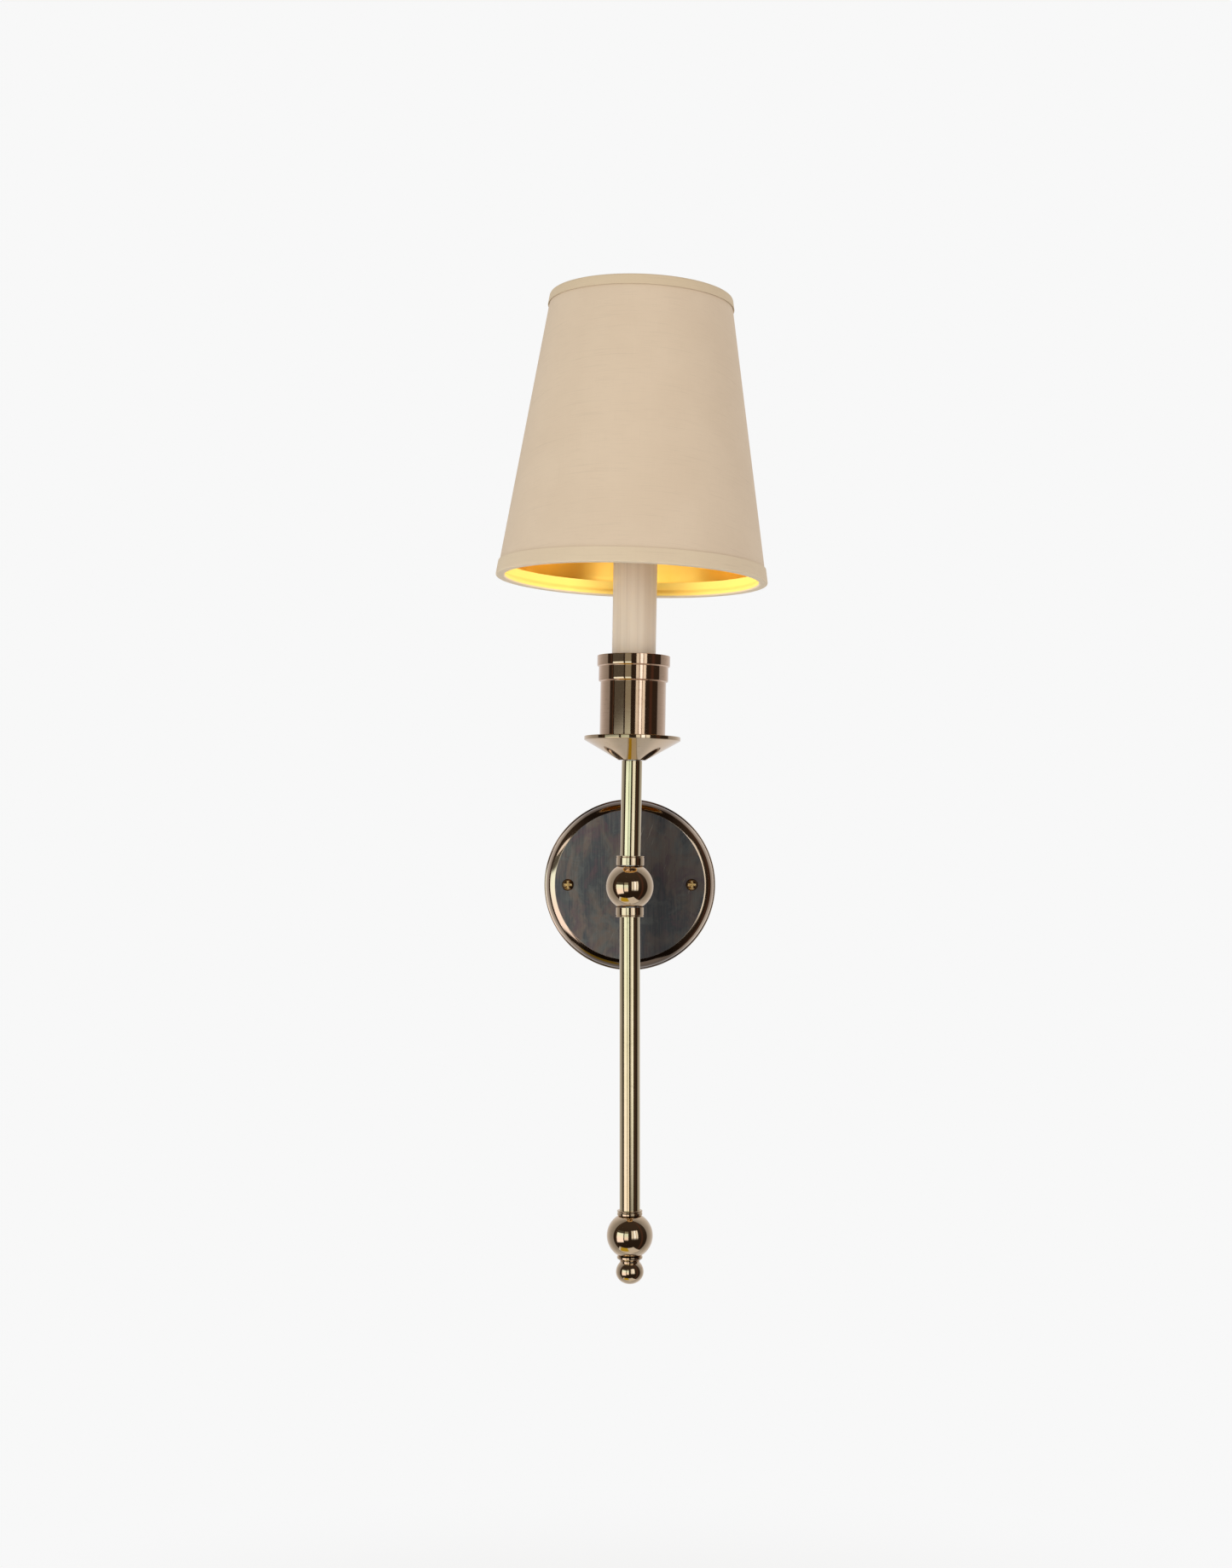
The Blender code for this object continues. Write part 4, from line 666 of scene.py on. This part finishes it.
def make_stem():
    """The ball with a flat behind for the arm, its three collars, and the tubes that meet in it."""
    rear = REAR.centre[1] + REAR.span("arm_ball_collar")[0] - 0.3 * MM

    def rear_flat(points):
        return np.stack([points[..., 0], np.minimum(points[..., 1], rear), points[..., 2]], axis=-1)

    radius = np.linalg.norm(corners("centre_ball") - UPPER.centre, axis=1).max()
    bored_ball("centre_ball_polished", "centre_ball", 0, radius, LOWER.span("centre_ball")[1],
               UPPER.span("centre_ball")[2], rear_flat)
    make_collar("ball_collar_upper", UPPER, True)
    make_collar("ball_collar_lower", LOWER, False)
    make_collar("arm_ball_collar", REAR, True)
    for node, axis in (("arm_tube", REAR), ("stem_tube_upper", UPPER), ("stem_tube_lower", LOWER)):
        turned_ring(f"{node}_polished", axis, TUBE_BRASS, node)
    low, high, _, radius = WALL.span("arm_plate_collar")
    cove = bow((radius, high), 1.6 * MM, -180, -90, 10)
    turned_ring("arm_plate_collar_turned", WALL, BRASS, "arm_plate_collar", [*cove, (radius, low)])


def make_finial():
    """Below the stem: a waisted collar, a ball, a chamfered collar, and a slightly flattened tip."""
    low, high, _, radius = LOWER.span("finial_collar_upper")
    waist = (low + high) / 2 + 0.3 * MM
    steps = [(radius - 0.35 * MM, high), (radius, high - 0.5 * MM), (radius, waist + 0.5 * MM),
             (radius - 0.45 * MM, waist), (radius - 0.1 * MM, waist - 0.5 * MM), (radius - 0.1 * MM, low)]
    turned_ring("finial_collar_upper_turned", LOWER, BRASS, "finial_collar_upper", steps)
    low, high, bore, _ = LOWER.span("finial_ball")
    reach = (high - low) / 2
    radius = math.hypot(LOWER.radii_at("finial_ball", high)[1], reach)
    bored_ball("finial_ball_polished", "finial_ball", (low + high) / 2, radius, reach, bore)
    low, high, _, radius = LOWER.span("finial_collar_lower")
    steps = [(radius, high), (radius, low + 1.2 * MM), (radius - 1.5 * MM, low)]
    turned_ring("finial_collar_lower_turned", LOWER, BRASS, "finial_collar_lower", steps)
    low, high, _, radius = LOWER.span("finial_tip")
    neck = LOWER.radii_at("finial_tip", high)[1]
    centre = low + radius
    ball = bow((0, centre), radius, math.degrees(math.acos(neck / radius)), -89, 60)
    ball[:, 1] = np.maximum(ball[:, 1], centre) + np.minimum(ball[:, 1] - centre, 0) * TIP_SQUASH
    tip = lathe("finial_tip_polished", LOWER, [(0.2 * MM, high), (neck, high), *ball], False, 160)
    finish_piece(tip, "fixture", BRASS, "polished_brass", "finial_tip")


def make_dish():
    """A thin funnel with an upright rim."""
    low, high, bore, radius = UPPER.span("drip_dish")
    foot = UPPER.radii_at("drip_dish", low)[1]
    wall = radius - UPPER.radii_at("drip_dish", high)[0]
    rim_low = high - 2.2 * MM
    slope = (rim_low - low) / (radius - foot)
    lift = wall * math.hypot(1, slope)
    outline = softened([(radius - wall, high), (radius, high), (radius, rim_low), (foot, low), (bore, low),
                        (bore, low + wall), (foot - (lift - wall) / slope, low + wall),
                        (radius - wall, rim_low + lift - wall * slope)], True, 0.35 * MM)
    dish = lathe("drip_dish_spun", UPPER, outline, True, 224)
    finish_piece(dish, "fixture", BRASS, "polished_brass", "drip_dish")


def make_cup():
    """The cup, whose two upper rings each end in a slight taper over a chamfer, and its card sleeve."""
    low, high, bore, top_ring = UPPER.span("candle_cup")
    heights, radii = UPPER.polar("candle_cup")
    steps = np.unique(heights[(heights > low + 5 * MM) & (heights < high - TINY)].round(5))
    lower_end, upper_end = steps[0], steps[-1]
    radius = UPPER.radii_at("candle_cup", low)[1]
    lower_ring = radii[np.abs(heights - lower_end) < 0.05 * MM].max()
    inside = UPPER.radii_at("candle_cup", high)[0]
    outline = [(inside, high), (top_ring, high)]
    for ring, end, below in ((top_ring, upper_end, lower_ring), (lower_ring, lower_end, radius)):
        outline += [(ring, end + TAPER_RISE), (ring - TAPER_IN, end), (below, end - RING_CHAMFER)]
    outline += [(radius, low), (bore, low), (bore, low + 2 * MM), (inside, low + 2 * MM)]
    outline = softened(outline, True, 0.15 * MM)
    cup = lathe("candle_cup_turned", UPPER, outline, True, 224)
    finish_piece(cup, "fixture", CUP_BRASS, "polished_brass", "candle_cup")
    turned_ring("candle_sleeve_card", UPPER, CARD, "candle_sleeve", slot="cream_card_sleeve")


def make_bulb_glass():
    """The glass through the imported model's own rings: a smooth curve over their radii, closed at the tip."""
    heights, radii = UPPER.polar("bulb_glass")
    levels = np.unique(heights.round(5))
    widest = np.array([radii[np.abs(heights - level) < 0.03 * MM].max() for level in levels])
    keep = np.concatenate([[True], np.diff(levels) > 1 * MM])
    levels, widest = levels[keep], widest[keep]
    levels[-1], widest[-1] = heights.max(), 0
    along = np.concatenate([[0], np.cumsum(np.hypot(np.diff(levels), np.diff(widest)))])
    fine = np.linspace(0, along[-1], 90)
    height, radius = curve_through(along, levels, fine), curve_through(along, widest, fine)
    radius = np.maximum(radius, 0.02 * MM)
    glass = lathe("bulb_glass_blown", UPPER, np.stack([radius, height], axis=-1)[::-1], False, 96)
    finish_piece(glass, "bulb", GLASS, "clear_glass", "bulb_glass")


def curve_through(at, values, where):
    """The cubic through the values, whose slope at each is that of the straight line past it."""
    slopes = np.gradient(values, at)
    i = np.clip(np.searchsorted(at, where) - 1, 0, len(at) - 2)
    width = at[i + 1] - at[i]
    t = (where - at[i]) / width
    return ((2 * t**3 - 3 * t**2 + 1) * values[i] + (t**3 - 2 * t**2 + t) * width * slopes[i]
            + (3 * t**2 - 2 * t**3) * values[i + 1] + (t**3 - t**2) * width * slopes[i + 1])


edge_low, edge_high = SHADE.span("shade_bottom_trim")[0], SHADE.span("shade_top_trim")[1]
edge_low_radius = SHADE.radii_at("shade_bottom_trim", edge_low)[1]
edge_high_radius = SHADE.radii_at("shade_top_trim", edge_high)[1]


def shade_radius(height):
    """Outer radius of the shade's cone at a height on its axis."""
    return np.interp(height, (edge_low, edge_high), (edge_low_radius, edge_high_radius))


def skin_faces(node):
    """Heights of a skin's two ends, and how far its outer and inner faces lie inside the cone."""
    low, high, _, _ = SHADE.span(node)
    inner, outer = SHADE.radii_at(node, low)
    return low, high, shade_radius(low) - outer, shade_radius(low) - inner


def lap_lift(angle, thickness):
    """How far the cloth stands out over the lapped ends, at an angle from the front: a smooth low step."""
    share = LAP_WIDTH / edge_low_radius / 2
    away = np.abs((angle + math.pi) % (2 * math.pi) - math.pi)
    t = np.clip((share * 1.3 - (math.pi - away)) / (share * 0.3), 0, 1)
    return thickness * t * t * (3 - 2 * t)


def make_cover():
    """One sheet of linen rolled into a cone, its right end lapped over its left at the back.

    Columns run once round the cone and on by the lap's width, over which the sheet is lifted by
    its own thickness. The UV map is the sheet laid flat: a sector about the cone's apex. Returns the
    sheet, its flat width and length, and its area.
    """
    rows = 60
    low, high, outer, inner = skin_faces("shade_cover")
    slant = math.hypot(high - low, shade_radius(low) - shade_radius(high))
    sine = (shade_radius(low) - shade_radius(high)) / slant
    lap = LAP_WIDTH / edge_low_radius
    start, end = math.pi - lap / 2, 3 * math.pi + lap / 2
    angle = np.linspace(start, end, 400)
    thickness = inner - outer
    t = np.clip((angle - (end - lap * 1.35)) / (lap * 0.35), 0, 1)
    lift = thickness * 1.08 * t * t * (3 - 2 * t)
    levels = np.linspace(low, high, rows)
    height = np.concatenate([levels, levels[::-1]])
    inset = np.repeat([outer, inner], rows)
    radius = (shade_radius(height) - inset)[:, None] + lift[None]
    centre = (shade_radius(height) - (outer + inner) / 2)[:, None] + lift[None]
    radius[:, 0], radius[:, -1] = centre[:, 0], centre[:, -1]
    points = SHADE.place(radius, angle[None], height[:, None])
    apex = shade_radius(height) / sine
    opened = (angle - 2 * math.pi) * sine
    uv = np.stack([apex[:, None] * np.sin(opened[None]), -apex[:, None] * np.cos(opened[None])], axis=-1)
    cover = surface("shade_cover_linen", points, uv, False, True)
    weld(cover)
    finish_piece(cover, "shade", LINEN, "cream_linen", "shade_cover")
    outer_sweep, inner_sweep = shade_radius(low) / sine, shade_radius(high) / sine
    half = (end - start) * sine / 2
    width = 2 * outer_sweep * math.sin(half)
    length = outer_sweep - inner_sweep * math.cos(half)
    area = half * (outer_sweep**2 - inner_sweep**2)
    return cover, (width, length), area


def weld(obj):
    """Joins corners that lie on each other, so that the ends of a thin sheet are closed."""
    shape = bmesh.new()
    shape.from_mesh(obj.data)
    bmesh.ops.remove_doubles(shape, verts=shape.verts, dist=0.002 * MM)
    bmesh.ops.dissolve_degenerate(shape, edges=shape.edges, dist=0.001 * MM)
    shape.to_mesh(obj.data)
    shape.free()
    obj.data.set_sharp_from_angle(angle=SHARP)


def make_lining():
    """The foil-faced card under the cover: a plain cone."""
    low, high, outer, inner = skin_faces("shade_lining")
    levels = np.linspace(low, high, 40)
    outline = np.concatenate([np.stack([shade_radius(levels) - outer, levels], axis=-1),
                              np.stack([shade_radius(levels) - inner, levels], axis=-1)[::-1]])
    lining = lathe("shade_lining_foil", SHADE, outline, True, 256)
    return finish_piece(lining, "shade", FOIL, "gold_foil", "shade_lining")


def make_trim(where, thickness=TAPE):
    """Tape folded over a rim: down the outside, round the wire ring, and up the inside.

    The profile is a line of cloth offset to both sides by half its thickness.
    """
    node = f"shade_{where}_trim"
    bottom = where == "bottom"
    heights, radii = SHADE.polar(node)
    rim, sign = (heights.min(), 1) if bottom else (heights.max(), -1)
    depth = shade_radius(heights) - radii
    outside = np.abs(heights[depth < thickness * 1.2] - rim).max()
    inside = np.abs(heights[depth > thickness * 2.4] - rim).max()
    folded = depth[np.abs(heights - rim) < 0.05 * MM].max() - thickness / 2
    at_end = (np.abs(np.abs(heights - rim) - inside) < 0.05 * MM) & (depth > thickness * 2.4)
    flat = depth[at_end].min() + thickness / 2
    ring = folded - FOLD_WIDTH
    if bottom:
        inside += INNER_HEM
    line = softened([(thickness / 2, outside), (thickness / 2, thickness / 2), (folded, thickness / 2),
                     (folded, FOLD_RISE), (flat, FOLD_RISE + 2 * MM), (flat, inside)], False, 0.9 * MM, 9)
    along = np.gradient(line, axis=0)
    along /= np.linalg.norm(along, axis=1)[:, None]
    across = np.stack([-along[:, 1], along[:, 0]], axis=-1) * thickness / 2
    loop = np.concatenate([line + across, (line - across)[::-1]])
    height = rim + sign * loop[:, 1]
    outline = np.stack([shade_radius(height) - loop[:, 0], height], axis=-1)
    share = np.clip((ring - loop[:, 0]) / ring, 0, 1)[:, None]
    length = np.linalg.norm(np.diff(line + across, axis=0), axis=1).sum()
    base, pale, painted_edge_highlight = (0.66, 0.54, 0.385), (0.69, 0.575, 0.41), 0.0
    # The top tape's colours are a darker copy of the bottom tape's: painted shade where less light reaches the
    # lampshade's top.
    if not bottom:
        base, pale, painted_edge_highlight = (0.63, 0.51, 0.35), (0.66, 0.54, 0.375), 0.8
    # The top tape's outer edge gets a painted highlight of 0.8; the bottom tape's gets none.
    weave = linen(base, pale, 1500.0, (length, inside + 0.3 * MM), painted_edge_highlight)
    tape = finish(f"cream_tape_{where}", weave, Sheen_Weight=0.1)

    def over_lap(points):
        away = points - SHADE.centre
        height = away @ SHADE.up
        out = away - height[..., None] * SHADE.up
        angle = np.arctan2(out @ SHADE.right, out @ SHADE.front)
        lift = lap_lift(angle, 0.65 * MM) * share
        return points + out / np.linalg.norm(out, axis=-1)[..., None] * lift[..., None]

    trim = lathe(f"{node}_folded", SHADE, outline, True, 320, over_lap)
    return finish_piece(trim, "shade", tape, "cream_tape", node)


def make_terminal_screws():
    """A slotted brass screw in each well of the terminal block: a disc with a groove across it."""
    low, high = (np.array(corner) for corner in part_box("terminal_block"))
    pitch, radius, thick, count = 8 * MM, 1.65 * MM, 1.0 * MM, 16
    rings = np.linspace(0.05 * MM, radius, count)
    face = np.stack([rings, np.full(count, thick)], axis=-1)
    outline = np.concatenate([face, [(radius, 0), (rings[0], 0)]])
    _, well_in, well_up = low + (high - low) * (0.5, 0.62, 0.75)
    for i in range(3):
        axis = Frame(((i - 1) * pitch, well_in, well_up), (0, -1, 0))

        def slotted(points):
            away = (points - axis.centre) @ np.array([math.cos(i), 0, math.sin(i)])
            cut = np.clip((0.3 * MM - np.abs(away)) / (0.08 * MM) + 0.5, 0, 1) * 0.6 * MM
            cut[count:] = 0
            return points - cut[..., None] * axis.up

        screw = lathe(f"terminal_screw_{i + 1}", axis, outline, False, 72, slotted)
        finish_piece(screw, "fixture", BRIGHT, "bright_brass")


CAD_FINISH = {
    "zinc_steel": (STEEL, "mounting_strap strap_nut_left strap_nut_right arm_nipple_rear arm_washer "
                          "arm_locknut arm_nipple_front stem_nipple_upper stem_nipple_lower finial_stud "
                          "cup_nipple cup_washer cup_locknut lampholder_riser bulb_cap bulb_filament "
                          "clip_loop_left clip_loop_right shade_top_ring shade_bottom_ring shade_spider"),
    "bright_brass": (BRIGHT, "earth_tag lampholder_shell lampholder_contact bulb_contact clip_yoke"),
    "polished_brass": (BRASS, "cup_spacer"),
    "cream_plastic": (CREAM, "lampholder_cap lampholder_body"),
    "white_plastic": (WHITE, "terminal_block"),
    "black_glass": (BLACK, "bulb_insulator"),
    "clear_glass": (GLASS, "bulb_mount"),
    "brown_insulation": (BROWN, "live_wire"),
    "blue_insulation": (BLUE, "neutral_wire"),
    "green_insulation": (GREEN, "earth_wire"),
}

wall_pieces = [make_backplate(), make_screw("left"), make_screw("right")]
make_stem()
make_finial()
make_dish()
make_cup()
make_bulb_glass()
cover, flat_size, flat_area = make_cover()
lining = make_lining()
trims = [make_trim("bottom"), make_trim("top")]
make_terminal_screws()
for slot, (material, names) in CAD_FINISH.items():
    for name in names.split():
        node = frame["nodes"][name]
        node.data.materials.clear()
        node.data.materials.append(material)

# Studio: a level camera far enough off to see under the shade, a pale room, and a floor below.
BACKGROUND = 0.9387        # the even tone behind everything
CAMERA_DISTANCE = 1.25
CAMERA_HEIGHT = 0.0148
LENS = 48.94
SHIFT = (-0.0088, 0.0492)
WINDOW_DISTANCE = 1.2
BOTTOM_GLASS = 0.12        # height where a window's bright lower panes give way to dim upper ones


def make_world():
    """Plain pale surroundings; polished metal sees a dim room, pale paper behind it and a pale table."""
    world = bpy.data.worlds.new("studio")
    bpy.context.scene.world = world
    world.use_nodes = True
    world.cycles.sampling_method = "NONE"
    graph = Graph(world.node_tree)
    x, y, z = graph.parts(graph.node("TexCoord", output="Generated"))
    turn = x.maths("ARCTAN2", x, -y) * (180 / math.pi)
    lift = z.maths("ARCSINE", z) * (180 / math.pi)
    wide = abs(turn)
    # The room in front, with a reddish wall on the right and a post on the left.
    room = graph.mix(graph.smooth(lift, -30.0, 60.0), (0.030, 0.021, 0.015), (0.060, 0.044, 0.032))
    room = graph.mix(graph.within(turn, 60.0, 70.0, 4.0) * 0.5, room, (0.13, 0.055, 0.035))
    room = graph.mix(graph.within(turn, -75.2, -73.8, 0.6) * 0.6, room, (0.25, 0.12, 0.06))
    # The paper behind.
    paper = graph.mix(graph.smooth(wide, 88.0, 165.0), (0.36, 0.35, 0.34), (0.82, 0.81, 0.82))
    behind = graph.smooth(wide + lift * lift * 0.003 - turn * 0.03, 90.0, 95.0)
    sky = graph.mix(behind, room, paper)
    # The table below, placed in shares of the height above it, with a yellow pad on it.
    down = z.maths("MAXIMUM", -z, 0.02)
    along = (x * 0.925 - y * 0.38) / down
    forward = (x * 0.38 + y * 0.925) / down
    table = graph.within(along, -0.75, 0.62, 0.03) * graph.smooth(forward - along * 0.15, -0.70, -0.65)
    table = table * graph.smooth(z, -0.28, -0.34) * graph.smooth(y, 0.06, 0.0)
    under = graph.smooth(y, 0.05, 0.2) * graph.smooth(z, -0.70, -0.85)
    pad = graph.within(along, -0.56, 0.06, 0.03) * graph.within(forward, -0.74, -0.24, 0.03)
    sky = graph.mix(table, sky, (0.80, 0.79, 0.76))
    sky = graph.mix(under, sky, (0.60, 0.61, 0.62))
    sky = graph.mix(pad * table, sky, (0.66, 0.48, 0.04))
    seen = graph.node("LightPath", output="Is Camera Ray")
    through = graph.node("LightPath", output="Is Transmission Ray")
    light = graph.mix(graph.node("LightPath", output="Is Glossy Ray"), (0.62, 0.60, 0.58), sky)
    light = graph.mix(seen.maths("MAXIMUM", seen, through), light, (BACKGROUND,) * 3)
    graph.end(graph.node("Background", Color=light), "OutputWorld")


def make_window(name, start, end, low, high, light):
    """A tall window in front of the sconce, seen only as a reflection in its metal.

    It is part of a cylinder about the stem, whose UV map holds the turn in degrees and the height.
    """
    turn = np.linspace(start, end, 40)[None]
    height = np.linspace(low, high, 30)[:, None]
    points = LOWER.place(WINDOW_DISTANCE, np.radians(turn), height)
    uv = np.stack(np.broadcast_arrays(turn, height), axis=-1)
    window = surface(name, points, uv, False, False)
    material, graph = new_material(name)
    material.cycles.emission_sampling = "NONE"
    turn, height, _ = graph.parts(graph.uv())
    graph.end(graph.node("Emission", Color=light(graph, turn, height)))
    window.data.materials.append(material)
    for kind in ("camera", "diffuse", "shadow", "transmission", "volume_scatter"):
        setattr(window, f"visible_{kind}", False)


def daylight(low, high, dim, foot):
    """Bright lower panes that shift from one tint to another, dim upper ones, and a dark foot."""
    def light(graph, turn, height):
        bright = graph.mix(graph.smooth(height, -0.45, 0.08), low, high)
        glass = graph.mix(graph.smooth(height, BOTTOM_GLASS, BOTTOM_GLASS + 0.08), bright, dim)
        return graph.mix(graph.smooth(height, foot, foot + 0.22), (0.05, 0.045, 0.03), glass)
    return light


def paned(graph, turn, height):
    """A bright window with two glazing bars."""
    bars = graph.within(turn, 18.6, 21.2, 0.3) + graph.within(turn, 30.0, 32.2, 0.3)
    glass = graph.mix(graph.smooth(turn, 19.5, 20.5), (1.05, 1.06, 0.98), (1.80, 1.90, 2.00))
    glass = graph.mix(graph.smooth(turn, 30.5, 31.5), glass, (1.22, 1.24, 1.16))
    glass = graph.mix(bars, glass, (0.25, 0.19, 0.14))
    return graph.mix(graph.smooth(height, -0.50, -0.22), (0.05, 0.04, 0.03), glass)


def make_light(name, at, aim, size, power, colour, only=()):
    """A soft round lamp that lights cloth and card but doesn't show in the polished metal.

    Given a list of pieces, it lights only those, and shows in their sheen.
    """
    lamp = bpy.data.lights.new(name, "AREA")
    lamp.shape = "DISK"
    lamp.size = size
    lamp.energy = power
    lamp.color = colour
    made = bpy.data.objects.new(name, lamp)
    made.location = at
    made.rotation_mode = "QUATERNION"
    made.rotation_quaternion = (Vector(aim) - Vector(at)).to_track_quat("-Z", "Y")
    made.visible_glossy = bool(only)
    made.visible_camera = False
    if only:
        lit = bpy.data.collections.new(name)
        for obj in only:
            lit.objects.link(obj)
        made.light_linking.receiver_collection = lit
    bpy.context.scene.collection.objects.link(made)


def make_floor():
    """A pale round floor whose edge fades into the background."""
    radius = np.linspace(0.0, 1.0, 24)[1:] ** 1.5 * 3.0
    angle = np.linspace(0, 2 * math.pi, 96, endpoint=False)
    drop = cad_low[2] - 0.5
    axis = Frame((0, stem_centre[1], drop), (0, 0, 1))
    points = axis.place(radius[:, None], angle[None], np.zeros((1, 1)))
    floor = surface("floor", points, points[..., :2], True, False, True, False)
    material, graph = new_material("floor")
    x, y, _ = graph.parts(graph.place())
    fade = 0.55 + graph.smooth((x * x + y * y) ** 0.5, 0.35, 1.2) * 0.45
    lit = graph.node("BsdfPrincipled", Base_Color=(0.86, 0.85, 0.83), Roughness=0.8)
    glow = graph.node("Emission", Color=(BACKGROUND,) * 3)
    blend = graph.tree.nodes.new("ShaderNodeMixShader")
    for slot, value in zip(blend.inputs, (fade, lit, glow)):
        connect(graph.tree, value, slot)
    graph.end(Socket(graph.tree, blend.outputs[0]))
    floor.data.materials.append(material)
    floor.visible_glossy = False


def make_camera():
    """A level camera whose lens is shifted to frame the sconce."""
    lens = bpy.data.cameras.new("camera")
    lens.lens = LENS
    lens.sensor_width = 36.0
    lens.shift_x, lens.shift_y = SHIFT
    camera = bpy.data.objects.new("camera", lens)
    camera.location = (0, stem_centre[1] - CAMERA_DISTANCE, CAMERA_HEIGHT)
    camera.rotation_euler = (math.pi / 2, 0, 0)
    bpy.context.scene.collection.objects.link(camera)
    bpy.context.scene.camera = camera


left_light = daylight((1.62, 1.50, 1.50), (1.40, 1.65, 1.55), (0.115, 0.112, 0.092), -0.85)
middle_light = daylight((1.38, 1.24, 1.15), (1.10, 1.36, 1.22), (0.34, 0.34, 0.265), -0.62)
make_world()
make_window("window_left", -68.0, -32.0, -0.78, 0.40, left_light)
make_window("window_middle", -27.0, -7.5, -0.62, 0.40, middle_light)
make_window("window_right", 9.0, 42.0, -0.55, 0.50, paned)
make_light("key", (-1.1, -1.6, 0.1), (0, -0.1, 0.1), 1.0, 12.0, (1.0, 0.97, 0.93))
make_light("fill", (1.5, -1.1, 0.5), (0, -0.1, 0.1), 1.2, 6.5, (1.0, 0.88, 0.82))
make_light("low", (0.0, -0.5, -0.9), (0, -0.1, 0.2), 0.8, 29.0, (1.0, 0.97, 0.92))
make_light("inside", (0, -0.95, -0.2), (0, -0.1, 0.2), 1.3, 9.0, (1.0, 0.95, 0.88), [lining])
make_light("back", (0.6, 1.2, 0.9), (0, -0.1, 0.1), 1.0, 3.5, (1.0, 1.0, 1.0))
make_light("hem", (0, -0.155, 0.205), (0, -0.03, 0.18), 0.03, 0.16, (1.0, 0.95, 0.88), [trims[0]])
make_light("plate", (-0.9, -1.0, 0.0), (0, 0, 0), 1.2, 4.5, (1.0, 0.97, 0.94), wall_pieces)
make_floor()
make_camera()
bpy.context.scene.view_settings.view_transform = "Standard"
bpy.context.view_layer.update()
